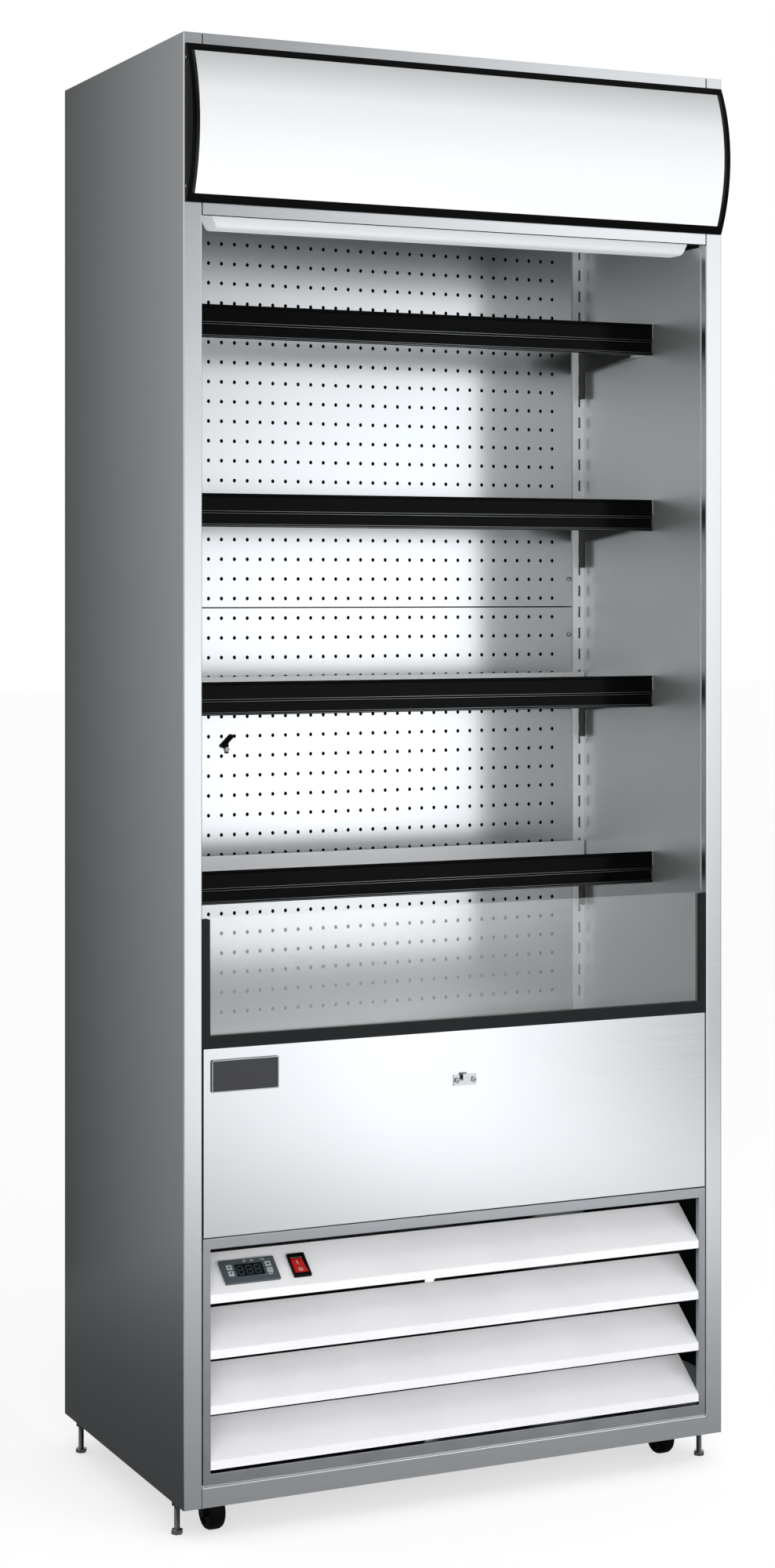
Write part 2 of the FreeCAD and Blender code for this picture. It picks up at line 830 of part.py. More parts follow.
lens = curved("header_lens", across(lens_half), (lens_low, lens_high), d.lens)
piece(lens, "header_lens")
trim_parts = [
    curved("trim_top", across(lens_half), (lens_high, header_top)),
    curved("trim_bottom", across(lens_half), (header_bottom, lens_low)),
]
for name, side in SIDES.items():
    cap = curved(f"trim_{name}_cap", sided(side, lens_half, header_half), header_levels)
    holes = []
    for level, screw_z in (
        ("low", header_bottom + d.cap_screw_inset),
        ("high", header_top - d.cap_screw_inset),
    ):
        screw_y = front - d.cap_screw_setback
        shank_span = sided(side, header_half - d.cap_screw_length, header_half)
        head_span = sided(side, header_half, header_half + d.cap_screw_head)
        hole_radius = d.cap_screw_radius / 2 + d.running_gap
        holes.append(rod(f"cap_hole_{name}_{level}", hole_radius, "X", shank_span, screw_y, screw_z))
        shank = rod(f"cap_shank_{name}_{level}", d.cap_screw_radius / 2, "X", shank_span, screw_y, screw_z)
        head = rod(f"cap_head_{name}_{level}", d.cap_screw_radius, "X", head_span, screw_y, screw_z)
        screws.append(join(f"cap_screw_{name}_{level}", shank, head))
    trim_parts.append(cut(f"header_cap_{name}", cap, *holes))
piece(gather("header_trim", *trim_parts), "header_trim")

# Interior lamp: a white trough with bevelled ends, hung between two black holders.
lamp_span = (front + d.lamp_front, front + d.lamp_front + d.lamp_width)


def lamp_outline(inset):
    long_half = lamp_half_length - inset
    short_half = long_half - d.lamp_end_bevel
    low = lamp_bottom + inset
    return [(-long_half, lamp_top), (long_half, lamp_top), (short_half, low), (-short_half, low)]


trough = profile("lamp_trough", "XZ_Plane", lamp_outline(0), lamp_span)
fold(trough, d.lamp_edge, lambda box: near(box.ZMax, lamp_bottom) and box.XLength > 100)
trough_hollow = profile(
    "lamp_hollow", "XZ_Plane", lamp_outline(d.lamp_wall), (lamp_span[0] + d.lamp_wall, lamp_span[1] - d.lamp_wall)
)
fold(trough_hollow, d.lamp_edge - d.lamp_wall, lambda box: box.XLength > 100 and box.ZMax < lamp_top.value - 1)
piece(cut("lamp_diffuser", trough, trough_hollow), "lamp_diffuser")

holders = []
for name, side in SIDES.items():
    outline = [
        (lamp_half_length - d.holder_reach, lamp_top),
        (lamp_half_length, lamp_top),
        (liner_face, lamp_top - d.holder_drop),
        (liner_face, lamp_top + d.holder_plate),
        (lamp_half_length - d.holder_reach, lamp_top + d.holder_plate),
    ]
    holders.append(profile(f"{name}_lamp_holder", "XZ_Plane", [(side * x, z) for x, z in outline], lamp_span))
piece(gather("lamp_holders", *holders), "lamp_holders")

# Night curtain: a wound roller behind the header and the pull bar at the curtain's lower edge.
roll_half = liner_face - d.roll_end_gap
roll = rod("curtain_roll", d.roll_radius, "X", across(roll_half), roller_y, roll_level)
roller_pin = rod(
    "roller_pin", d.roller_pin_radius, "X", across(opening + d.roller_pin_reach), roller_y, roll_level
)
piece(join("curtain_roller", roll, roller_pin), "curtain_roller")
bar_middle = front + d.curtain_plane
bar_block = block(
    "curtain_bar_block", across(liner_face - d.curtain_bar_end_gap),
    (bar_middle - d.curtain_bar_depth / 2, bar_middle + d.curtain_bar_depth / 2),
    (curtain_bar_bottom, curtain_bar_bottom + d.curtain_bar_height),
)
piece(soften("curtain_bar", bar_block, d.curtain_bar_edge, lambda box: box.XLength > 100), "curtain_bar")

# Shelf standards: slotted channels that stand from the deck to the ceiling at the back corners.
standard_near = liner_face - d.standard_width
standard_y = liner_rear - d.standard_depth
standard_levels = (deck_level, ceiling_level)
slot_x = liner_face - d.slot_inset
slot_count = 1 + math.floor(((ceiling_level - slot_first - d.slot_top_margin) / d.slot_pitch).value)
slot_levels = [slot_first + index * d.slot_pitch for index in range(slot_count)]
standards = []
for name, side in SIDES.items():
    slots = [
        slot((side * slot_x).value, standard_y.value, level.value, d.slot_width.value, d.slot_length.value)
        for level in slot_levels
    ]
    web = holed_sheet(
        f"{name}_standard_web", sided(side, standard_near, liner_face), (standard_y, standard_y + d.skin),
        standard_levels, slots,
    )
    leg_span = (standard_y + d.skin, liner_rear)
    inner_leg = block(
        f"{name}_inner_leg", sided(side, standard_near, standard_near + d.skin), leg_span, standard_levels
    )
    outer_leg = block(f"{name}_outer_leg", sided(side, liner_face - d.skin, liner_face), leg_span, standard_levels)
    standards.append(join(f"{name}_standard", web, inner_leg, outer_leg))
piece(gather("shelf_standards", *standards), "shelf_standards")

# Rear baffles: two perforated sheets between the standards, stiffened along their edges, screwed by the seam.
baffle_half = standard_near - d.slide_gap
baffle_y = (liner_rear - d.duct_depth, liner_rear - d.duct_depth + d.baffle_sheet)
baffle_fold = (baffle_y[1], baffle_y[1] + d.baffle_return)
screw_x = baffle_half - d.baffle_screw_inset
baffle_panels = {
    "lower": (deck_level, baffle_seam - d.baffle_seam_gap / 2, baffle_seam - d.baffle_screw_offset),
    "upper": (baffle_seam + d.baffle_seam_gap / 2, baffle_top, baffle_seam + d.baffle_screw_offset),
}
column_steps = math.floor(((baffle_half - d.hole_side_margin) * 2 / d.hole_column_pitch).value)
row_steps = math.floor(((baffle_top - hole_first_row - d.hole_top_margin) / d.hole_row_pitch).value)
first_column = d.hole_shift - d.hole_column_pitch * column_steps / 2
columns = [first_column + index * d.hole_column_pitch for index in range(column_steps + 1)]
rows = [hole_first_row + index * d.hole_row_pitch for index in range(row_steps + 1)]


def wall_screw(name, x, y, z):
    """A round-headed screw driven along +Y into a face at y."""
    head = rod(f"{name}_head", d.screw_head_radius, "Y", (y - d.screw_head, y), x, z)
    shank = rod(f"{name}_shank", d.screw_shank_radius, "Y", (y, y + d.screw_length), x, z)
    return join(name, head, shank)


def screw_hole(name, x, y, z):
    return rod(name, d.screw_shank_radius + d.running_gap, "Y", (y - 1, y + d.screw_length + 1), x, z)


clip_x = left + d.probe_right
clip_screw_z = probe_level - d.clip_tail
baffles = []
for name, (low, high, screw_z) in baffle_panels.items():
    clear = d.hole_height.value
    hole_levels = [row.value for row in rows if low.value + clear < row.value < high.value - clear]
    wide, tall = d.hole_width.value, d.hole_height.value
    holes = [
        (level, oval(column.value, baffle_y[0].value, level, wide, tall)) for level in hole_levels for column in columns
    ]
    screw_places = [(side * screw_x, screw_z) for side in SIDES.values()]
    for index, (x, z) in enumerate(screw_places):
        screws.append(wall_screw(f"{name}_baffle_screw_{index}", x, baffle_y[0], z))
    if name == "lower":
        screw_places.append((clip_x, clip_screw_z))
    hole_radius = (d.screw_shank_radius + d.running_gap).value
    for x, z in screw_places:
        holes.append((z.value, round_hole(x.value, baffle_y[0].value, z.value, hole_radius)))
    bands = [(one + next_one) / 2 for one, next_one in zip(hole_levels, hole_levels[1:])]
    baffles.append(perforated(f"{name}_baffle_sheet", across(baffle_half), baffle_y, (low, high), bands, holes))
    for side_name, side in SIDES.items():
        edge = sided(side, baffle_half - d.baffle_sheet, baffle_half)
        baffles.append(block(f"{name}_baffle_{side_name}_stiffener", edge, baffle_fold, (low, high)))
piece(gather("rear_baffles", *baffles), "rear_baffles")

# Shelves: a folded pan with a rear upstand, a black price rail on its front skirt,
# and two hooked brackets that carry it.
shelf_half = liner_face - d.shelf_end_gap
rail_front = front + d.shelf_front
skirt_front = rail_front + d.price_rail_depth
pan_rear = standard_y - d.shelf_rear_gap
bracket_middle = slot_x
brackets = []


def pan_outline(rail_top):
    surface = rail_top - d.shelf_drop
    under = surface - d.shelf_sheet
    return [
        (skirt_front, surface - d.shelf_skirt),
        (skirt_front, surface),
        (pan_rear - d.shelf_sheet, surface),
        (pan_rear - d.shelf_sheet, rail_top),
        (pan_rear, rail_top),
        (pan_rear, under),
        (skirt_front + d.shelf_sheet, under),
        (skirt_front + d.shelf_sheet, surface - d.shelf_skirt),
    ]


def price_rail_outline(rail_top):
    """Lower lip, recessed lower face, double rib, upper face and top bead, then the plain back."""
    low = rail_top - d.price_rail_height
    groove = d.price_rail_groove
    rib = d.price_rail_rib
    rib_low = low + d.price_rail_rib_level
    bead = rail_top - d.price_rail_lip
    back = rail_front + d.price_rail_depth
    face_back = rail_front + d.price_rail_face
    clip_top = rail_top - d.shelf_drop
    return [
        (back, low),
        (rail_front + groove, low),
        (rail_front, low + groove / 2),
        (rail_front, low + d.price_rail_lip),
        (rail_front + groove, low + d.price_rail_lip + rib),
        (rail_front + 2 * groove, low + d.price_rail_lip + rib),
        (rail_front + 2 * groove, rib_low - rib),
        (rail_front + groove, rib_low),
        (rail_front + groove, rib_low + rib),
        (rail_front + 2 * groove, rib_low + rib),
        (rail_front + 2 * groove, rib_low + 2 * rib),
        (rail_front + groove / 2, rib_low + 3 * rib),
        (rail_front + groove / 2, bead - rib),
        (rail_front + groove, bead - rib),
        (rail_front + groove, bead),
        (rail_front, bead),
        (rail_front, rail_top - groove),
        (rail_front + groove, rail_top),
        (face_back, rail_top),
        (face_back, clip_top),
        (back, clip_top),
    ]


def bracket_outline(rail_top, upper_slot):
    """A tapered arm under the pan, a hanging leg, and two tabs through the standard's slots."""
    arm_top = rail_top - d.shelf_drop - d.shelf_sheet
    pan_low = rail_top - d.shelf_drop - d.shelf_skirt
    arm_front = skirt_front + d.bracket_front_gap
    leg_front = standard_y - d.bracket_leg
    outline = [(arm_front, arm_top), (arm_front, pan_low), (leg_front, pan_low - d.bracket_slope_drop)]
    outline.append((leg_front, pan_low - d.bracket_leg_drop))
    outline.append((standard_y, pan_low - d.bracket_leg_drop))
    for level in (upper_slot - d.slot_pitch, upper_slot):
        tab_low = level - d.bracket_tab / 2
        tab_high = level + d.bracket_tab / 2
        tab_end = standard_y + d.bracket_tab_reach
        outline.extend([(standard_y, tab_low), (tab_end, tab_low), (tab_end, tab_high), (standard_y, tab_high)])
    outline.append((standard_y, arm_top))
    return outline


shelf_count = int(d.shelf_count.value)
free_slots = slot_count - 1 - int((d.lowest_shelf_slot + d.slots_above_shelves).value)
slots_per_shelf = free_slots // max(shelf_count - 1, 1)
for number in range(1, shelf_count + 1):
    upper_slot = slot_first + (d.lowest_shelf_slot + (shelf_count - number) * slots_per_shelf) * d.slot_pitch
    rail_top = upper_slot + d.slot_to_rail_top
    surface = rail_top - d.shelf_drop
    pan = profile(f"pan_{number}", "YZ_Plane", pan_outline(rail_top), across(shelf_half))
    parts = [pan]
    for name, side in SIDES.items():
        parts.append(
            block(
                f"pan_{number}_{name}_skirt", sided(side, shelf_half - d.shelf_sheet, shelf_half),
                (skirt_front + d.shelf_sheet, pan_rear), (surface - d.shelf_skirt, surface - d.shelf_sheet),
            )
        )
        middle = side * bracket_middle
        thickness = (middle - d.bracket_sheet / 2, middle + d.bracket_sheet / 2)
        outline = bracket_outline(rail_top, upper_slot)
        brackets.append(profile(f"bracket_{number}_{name}", "YZ_Plane", outline, thickness))
    piece(join(f"shelf_{number}", *parts), f"shelf_{number}")
    rail = profile(f"price_rail_{number}", "YZ_Plane", price_rail_outline(rail_top), across(shelf_half))
    piece(rail, f"price_rail_{number}")
piece(gather("shelf_brackets", *brackets), "shelf_brackets")

# Glass front: a pane standing in a black channel of three mitred lengths.
frame_half = opening - d.seat_gap
frame_low = panel_top
frame_depth = (front, front + 2 * d.glass_frame_wall + d.glass_sheet)
mitre_x = frame_half - d.glass_frame_side
mitre_z = frame_low + d.glass_frame_base
glass_half = frame_half - d.glass_seat
glass_y = (front + d.glass_frame_wall, front + d.glass_frame_wall + d.glass_sheet)
glass_low = frame_low + d.glass_seat
pane = block("glass_sheet", across(glass_half), glass_y, (glass_low, glass_top))
piece(
    soften(
        "glass_pane", pane, d.glass_corner,
        lambda box: near(box.ZMin, glass_top) and box.XLength < 1,
    ),
    "glass_pane",
)
groove = block(
    "glass_groove", across(glass_half), glass_y, (glass_low, glass_top + d.glass_corner)
)
base_outline = [(-frame_half, frame_low), (frame_half, frame_low), (mitre_x, mitre_z), (-mitre_x, mitre_z)]
channels = [cut("channel_base", profile("channel_base_bar", "XZ_Plane", base_outline, frame_depth), groove)]
for name, side in SIDES.items():
    outline = [
        (frame_half, frame_low),
        (frame_half, glass_frame_top),
        (mitre_x, glass_frame_top),
        (mitre_x, mitre_z),
    ]
    bar = profile(f"channel_{name}_bar", "XZ_Plane", [(side * x, z) for x, z in outline], frame_depth)
    channels.append(cut(f"channel_{name}", bar, groove))
piece(gather("glass_channel", *channels), "glass_channel")

# Lower front panel: a tray whose edges fold back to the well's front wall.
panel_half = opening - d.panel_side_gap
well_wall = front + d.well_front
panel_levels = (panel_bottom, panel_top)
panel_block = block("front_panel_block", across(panel_half), (front, well_wall), panel_levels)
panel_hollow = block(
    "front_panel_hollow", across(panel_half - d.skin), (front + d.skin, well_wall + 1),
    (panel_bottom + d.skin, panel_top - d.skin),
)
catch_holes = []
for name, side in SIDES.items():
    catch_screw_x = side * d.catch_screw_spacing / 2
    screw_face = front - d.catch_sheet
    catch_holes.append(screw_hole(f"catch_hole_{name}", catch_screw_x, screw_face, catch_level))
    screws.append(wall_screw(f"catch_screw_{name}", catch_screw_x, screw_face, catch_level))
lower_tray = cut("lower_tray", panel_block, panel_hollow)
piece(cut("lower_front_panel", lower_tray, *catch_holes), "lower_front_panel")

plate_left = -panel_half + d.plate_left
plate_top = panel_top - d.plate_top_gap
plate_block = block(
    "plate_block", (plate_left, plate_left + d.plate_width), (front - d.plate_thickness, front),
    (plate_top - d.plate_height, plate_top),
)
piece(
    soften("name_plate", plate_block, d.plate_corner, lambda box: box.YLength > 1 and box.XLength < 1),
    "name_plate",
)

# Curtain catch: a small plate with a turned-up tongue that holds the curtain's bar down.
catch_low = catch_level - d.catch_height / 2
catch_high = catch_level + d.catch_height / 2
catch_plate = block(
    "catch_plate", across(d.catch_width / 2), (front - d.catch_sheet, front), (catch_low, catch_high)
)
tongue_front = front - d.catch_sheet - d.catch_tongue_reach
tongue_half = d.catch_tongue_width / 2
tongue_y = (tongue_front, front - d.catch_sheet)
tongue = block("catch_tongue", across(tongue_half), tongue_y, (catch_level, catch_level + d.catch_sheet))
lip = block(
    "catch_lip", across(tongue_half), (tongue_front, tongue_front + d.catch_sheet),
    (catch_level, catch_level + d.catch_lip),
)
piece(cut("curtain_catch", join("catch_bent", catch_plate, tongue, lip), *catch_holes), "curtain_catch")

# Grille frame: four mitred lengths that stand on the base floor in front of the machine bay.
grille_half = opening - d.grille_side_gap
grille_inside = grille_half - d.grille_side_member
grille_levels = (base_top, base_top + d.grille_end_member, grille_top - d.grille_end_member, grille_top)
grille_y = (front, front + d.grille_depth)
members = []
for name, outer_z, inner_z in (
    ("bottom", grille_levels[0], grille_levels[1]),
    ("top", grille_levels[3], grille_levels[2]),
):
    outline = [(-grille_half, outer_z), (grille_half, outer_z), (grille_inside, inner_z), (-grille_inside, inner_z)]
    members.append(profile(f"grille_{name}", "XZ_Plane", outline, grille_y))
for name, side in SIDES.items():
    outline = [
        (side * grille_half, grille_levels[0]),
        (side * grille_half, grille_levels[3]),
        (side * grille_inside, grille_levels[2]),
        (side * grille_inside, grille_levels[1]),
    ]
    members.append(profile(f"grille_{name}", "XZ_Plane", outline, grille_y))
piece(gather("grille_frame", *members), "grille_frame")

# Louvres: white folded blades, a short upright lip and a face that slopes up and back.
slope = d.louvre_rise / d.louvre_depth
slope_drop = d.louvre_sheet * root(1 + slope * slope)
slope_angle = Size(
    math.degrees(math.atan(slope.value)), f"atan({d.louvre_rise.text} / {d.louvre_depth.text})"
)
louvre_y = front + d.louvre_inset
louvre_count = math.floor(((grille_top - louvre_first) / d.louvre_pitch).value)
top_louvre = louvre_count - 1
face_level = louvre_first + top_louvre * d.louvre_pitch + d.louvre_lip


def on_face(item):
    """Lays a piece on the top louvre: its Y runs up the slope, and its Z stands out of the face."""
    turn = FreeCAD.Rotation(FreeCAD.Vector(1, 0, 0), slope_angle.value)
    item.Placement = FreeCAD.Placement(FreeCAD.Vector(), turn)
    bind(item, "Placement.Rotation.Angle", slope_angle)
    place(item, measure(0), louvre_y, face_level)
    return item


def louvre_outline(low):
    crease = low + d.louvre_lip
    return [
        (louvre_y, low),
        (louvre_y, crease),
        (louvre_y + d.louvre_depth, crease + d.louvre_rise),
        (louvre_y + d.louvre_depth, crease + d.louvre_rise - slope_drop),
        (louvre_y + d.louvre_sheet, crease + d.louvre_sheet * slope - slope_drop),
        (louvre_y + d.louvre_sheet, low),
    ]


control_y = (d.control_front, d.control_front + d.control_height)
body_y = (control_y[0] + d.controller_margin, control_y[1] - d.controller_margin)
controller_x = (left + d.controller_left, left + d.controller_left + d.controller_width)
controller_inner_x = (controller_x[0] + d.controller_margin, controller_x[1] - d.controller_margin)
switch_x = (left + d.switch_left, left + d.switch_left + d.switch_width)
switch_inner_x = (switch_x[0] + d.switch_frame, switch_x[1] - d.switch_frame)
switch_body_x = (switch_x[0] + d.switch_frame / 2, switch_x[1] - d.switch_frame / 2)
openings = []
for name, span in (("controller", controller_inner_x), ("switch", switch_body_x)):
    grown_x = (span[0] - d.seat_gap, span[1] + d.seat_gap)
    grown_y = (body_y[0] - d.seat_gap, body_y[1] + d.seat_gap)
    openings.append(on_face(gather(f"{name}_cutout", block(
        f"{name}_cutout_block", grown_x, grown_y, (-d.controller_body, d.control_bezel)
    ))))
louvres = []
for index in range(louvre_count):
    low = louvre_first + index * d.louvre_pitch
    blade = profile(f"louvre_{index + 1}", "YZ_Plane", louvre_outline(low), across(grille_inside))
    louvres.append(cut(f"louvre_{index + 1}_cut", blade, *openings) if index == top_louvre else blade)
piece(gather("louvres", *louvres), "louvres")

# Temperature controller: bezel on the top louvre, body behind it, and four keys in pockets.
bezel = block("controller_bezel", controller_x, control_y, (measure(0), d.control_bezel))
case = block("controller_case", controller_inner_x, body_y, (-d.controller_body, measure(0)))
display_x = controller_x[0] + d.display_left
display_y = control_y[0] + d.display_bottom
display = block(
    "display_recess", (display_x, display_x + d.display_width), (display_y, display_y + d.display_height),
    (d.control_bezel - d.display_recess, d.control_bezel + 1),
)
button_columns = {"left": controller_x[0] + d.button_inset, "right": controller_x[1] - d.button_inset}
button_rows = {"lower": control_y[0] + d.button_low, "upper": control_y[0] + d.button_low + d.button_step}
button_top = d.control_bezel + d.button_proud
button_low = d.control_bezel - d.button_depth
pockets = []
for row_name, row_y in button_rows.items():
    for column_name, column_x in button_columns.items():
        label = f"button_{row_name}_{column_name}"
        half_x = d.button_width / 2
        half_y = d.button_height / 2
        key = block(
            f"{label}_key", (column_x - half_x, column_x + half_x), (row_y - half_y, row_y + half_y),
            (button_low, button_top),
        )
        piece(on_face(gather(label, key)), label)
        pocket_x = (column_x - half_x - d.seat_gap, column_x + half_x + d.seat_gap)
        pocket_y = (row_y - half_y - d.seat_gap, row_y + half_y + d.seat_gap)
        pocket_z = (button_low - d.button_travel - d.running_gap, d.control_bezel + 1)
        pockets.append(block(f"{label}_pocket", pocket_x, pocket_y, pocket_z))
controller = cut("controller_body", join("controller_shell", bezel, case), display, *pockets)
piece(on_face(controller), "controller_body")

# Rocker switch: a housing with a square well, and a rocker that turns on two pins inside it.
switch_bezel = block("switch_bezel", switch_x, control_y, (measure(0), d.control_bezel))
switch_case = block("switch_case", switch_body_x, body_y, (-d.switch_body, measure(0)))
well_low = -d.rocker_depth - d.rocker_proud
switch_well = block("switch_well", switch_inner_x, body_y, (well_low, d.control_bezel + 1))
pivot_y = (control_y[0] + control_y[1]) / 2
pin_z = -d.rocker_pin_radius
pin_span = (switch_inner_x[0] - d.rocker_pin_reach, switch_inner_x[1] + d.rocker_pin_reach)
pin_bore = rod("rocker_pin_bore", d.rocker_pin_radius + d.running_gap, "X", pin_span, pivot_y, pin_z)
housing = cut("switch_housing", join("switch_shell", switch_bezel, switch_case), switch_well, pin_bore)
piece(on_face(housing), "switch_housing")

rocker_half = (body_y[1] - body_y[0]) / 2 - d.rocker_end_gap
rocker_low = pin_z - d.rocker_depth / 2
rocker_outline = [
    (pivot_y - rocker_half / 2, rocker_low),
    (pivot_y + rocker_half / 2, rocker_low),
    (pivot_y + rocker_half, d.control_bezel / 2 - d.rocker_tilt),
    (pivot_y, d.control_bezel / 2 - d.rocker_dip),
    (pivot_y - rocker_half, d.control_bezel / 2 + d.rocker_tilt),
]
rocker_x = (switch_inner_x[0] + d.slide_gap, switch_inner_x[1] - d.slide_gap)
rocker_key = profile("rocker_key", "YZ_Plane", rocker_outline, rocker_x)
inner_pin = (pin_span[0] + d.slide_gap, pin_span[1] - d.slide_gap)
rocker_pin = rod("rocker_pin", d.rocker_pin_radius, "X", inner_pin, pivot_y, pin_z)
piece(on_face(join("rocker", rocker_key, rocker_pin)), "rocker")

# Well: a folded pan under the deck that holds the evaporator; the deck covers it.
well_rear = liner_rear - d.well_sheet
well_outline = [
    (well_wall, well_floor),
    (well_wall, well_front_top),
    (well_wall + d.well_sheet, well_front_top),
    (well_wall + d.well_sheet, well_floor + d.well_sheet),
    (well_rear, well_floor + d.well_sheet),
    (well_rear, well_rear_top),
    (liner_rear, well_rear_top),
    (liner_rear, well_floor),
]
piece(profile("well_pan", "YZ_Plane", well_outline, across(liner_face)), "well_pan")

deck_y = (front + d.deck_front, standard_y)
deck_skirt_low = deck_level - d.deck_skirt
deck_outline = [
    (deck_y[0], deck_skirt_low),
    (deck_y[0], deck_level),
    (deck_y[1], deck_level),
    (deck_y[1], deck_skirt_low),
    (deck_y[1] - d.well_sheet, deck_skirt_low),
    (deck_y[1] - d.well_sheet, deck_level - d.well_sheet),
    (deck_y[0] + d.well_sheet, deck_level - d.well_sheet),
    (deck_y[0] + d.well_sheet, deck_skirt_low),
]
piece(profile("deck_panel", "YZ_Plane", deck_outline, across(liner_face)), "deck_panel")


def fan(name, x, y, z, radius, label):
    """A hub with flat pitched blades that turns on a shaft along Y; y is the hub's front face."""
    hub = rod(f"{name}_hub", d.fan_hub_radius, "Y", (y, y + d.fan_hub_depth), x, z)
    blades = []
    inner = d.fan_hub_radius.value * 0.8
    turn_step = 360 / int(d.fan_blades.value)
    for index in range(int(d.fan_blades.value)):
        blade = Part.makeBox(
            d.fan_blade_chord.value, d.fan_blade.value, radius.value - inner,
            FreeCAD.Vector(-d.fan_blade_chord.value / 2, -d.fan_blade.value / 2, inner),
        )
        blade.rotate(FreeCAD.Vector(), FreeCAD.Vector(0, 0, 1), d.fan_blade_angle.value)
        blade.rotate(FreeCAD.Vector(), FreeCAD.Vector(0, 1, 0), index * turn_step)
        blade.translate(FreeCAD.Vector(x.value, (y + d.fan_hub_depth / 2).value, z.value))
        item = doc.addObject("Part::Feature", f"{name}_blade_{index}")
        item.Shape = blade
        blades.append(item)
    bore = rod(
        f"{name}_bore", d.fan_shaft_radius + d.running_gap, "Y", (y - 1, y + d.fan_hub_depth + 1), x, z
    )
    piece(cut(label, join(f"{name}_wheel", hub, *blades), bore), label)


def motor(name, x, y, z, strut_half):
    """A motor behind a fan hub at y, its shaft through the hub, carried by one strut across the opening."""
    hub_rear = y + d.fan_hub_depth
    motor_front = hub_rear + d.motor_gap
    motor_rear = motor_front + d.motor_length
    case = rod(f"{name}_motor", d.motor_radius, "Y", (motor_front, motor_rear), x, z)
    shaft = rod(f"{name}_shaft", d.fan_shaft_radius, "Y", (y, motor_rear), x, z)
    strut = block(
        f"{name}_strut", (x - strut_half, x + strut_half), (motor_rear - d.motor_strut, motor_rear),
        (z - d.motor_strut, z + d.motor_strut),
    )
    return [case, shaft, strut], motor_rear


# Evaporator: finned coil on two end plates, with the plate that carries its fan in front.
well_top = well_floor + d.well_sheet
coil_y = (front + d.coil_front, front + d.coil_front + d.coil_depth)
coil_low = well_top + d.coil_clear
coil_high = coil_low + d.coil_height
evaporator_parts = [block("coil_fins", across(d.coil_half_length), coil_y, (coil_low, coil_high))]
for name, side in SIDES.items():
    span = sided(side, d.coil_half_length, d.coil_half_length + d.coil_end_plate)
    evaporator_parts.append(block(f"coil_plate_{name}", span, coil_y, (well_top, coil_high)))
for row in range(3):
    tube_z = coil_low + (2 * row + 1) * d.coil_height / 6
    for column in range(2):
        tube_y = coil_y[0] + (2 * column + 1) * d.coil_depth / 4
        reach = across(d.coil_half_length + d.coil_tube_reach)
        evaporator_parts.append(rod(f"coil_tube_{row}_{column}", d.coil_tube_radius, "X", reach, tube_y, tube_z))
fan_plate_y = (front + d.fan_plate_front, front + d.fan_plate_front + d.fan_plate_sheet)
centre = measure(0)
fan_plate = block("fan_plate", across(d.fan_plate_width / 2), fan_plate_y, (well_top, deck_skirt_low))
fan_hole = rod(
    "fan_hole", d.well_fan_radius + d.fan_tip_gap, "Y", (fan_plate_y[0] - 1, fan_plate_y[1] + 1), centre,
    well_fan_level,
)
evaporator_parts.append(cut("fan_plate_open", fan_plate, fan_hole))
well_fan_y = fan_plate_y[1] - d.fan_hub_depth
strut_half = d.fan_plate_width / 2
well_motor, motor_end = motor("well", centre, well_fan_y, well_fan_level, strut_half)
evaporator_parts.extend(well_motor)
for name, side in SIDES.items():
    foot_span = sided(side, strut_half - d.motor_strut, strut_half)
    evaporator_parts.append(
        block(
            f"well_strut_{name}", foot_span, (fan_plate_y[1], motor_end),
            (well_fan_level - d.motor_strut, well_fan_level + d.motor_strut),
        )
    )
well_parts = [item for item in evaporator_parts if not item.Name.startswith("coil")]
coil_parts = [item for item in evaporator_parts if item.Name.startswith("coil")]
piece(gather("evaporator", join("evaporator_coil", *coil_parts), join("well_fan_frame", *well_parts)), "evaporator")
fan("well_fan", centre, well_fan_y, well_fan_level, d.well_fan_radius, "evaporator_fan")

# Condenser: finned coil behind the louvres, a shroud behind it, and the fan's motor on a strut.
condenser_x = (left + d.condenser_left, left + d.condenser_left + d.condenser_width)
condenser_y = (front + d.condenser_front, front + d.condenser_front + d.condenser_depth)
condenser_z = (base_top, base_top + d.condenser_height)
bay_fan_x = (condenser_x[0] + condenser_x[1]) / 2
bay_fan_z = (condenser_z[0] + condenser_z[1]) / 2
shroud_rear = condenser_y[1] + d.shroud_depth
condenser_coil = block("condenser_coil", condenser_x, condenser_y, condenser_z)
shroud = block("shroud_box", condenser_x, (condenser_y[1], shroud_rear), condenser_z)
shroud_hollow = block(
    "shroud_hollow", (condenser_x[0] + d.shroud_sheet, condenser_x[1] - d.shroud_sheet),
    (condenser_y[1], shroud_rear - d.shroud_sheet),
    (condenser_z[0] + d.shroud_sheet, condenser_z[1] - d.shroud_sheet),
)
shroud_hole = rod(
    "shroud_hole", d.bay_fan_radius + d.fan_tip_gap, "Y", (condenser_y[1], shroud_rear + 1), bay_fan_x, bay_fan_z
)
bay_fan_y = shroud_rear - d.fan_hub_depth
bay_strut_half = d.condenser_width / 2
bay_motor, bay_motor_end = motor("bay", bay_fan_x, bay_fan_y, bay_fan_z, bay_strut_half)
condenser_parts = [condenser_coil, cut("shroud", shroud, shroud_hollow, shroud_hole)] + bay_motor
for name, side in SIDES.items():
    span = sided(side, bay_strut_half - d.motor_strut, bay_strut_half)
    condenser_parts.append(
        block(
            f"bay_strut_{name}", (bay_fan_x + span[0], bay_fan_x + span[1]), (shroud_rear, bay_motor_end),
            (bay_fan_z - d.motor_strut, bay_fan_z + d.motor_strut),
        )
    )
piece(join("condenser", *condenser_parts), "condenser")
fan("bay_fan", bay_fan_x, bay_fan_y, bay_fan_z, d.bay_fan_radius, "condenser_fan")

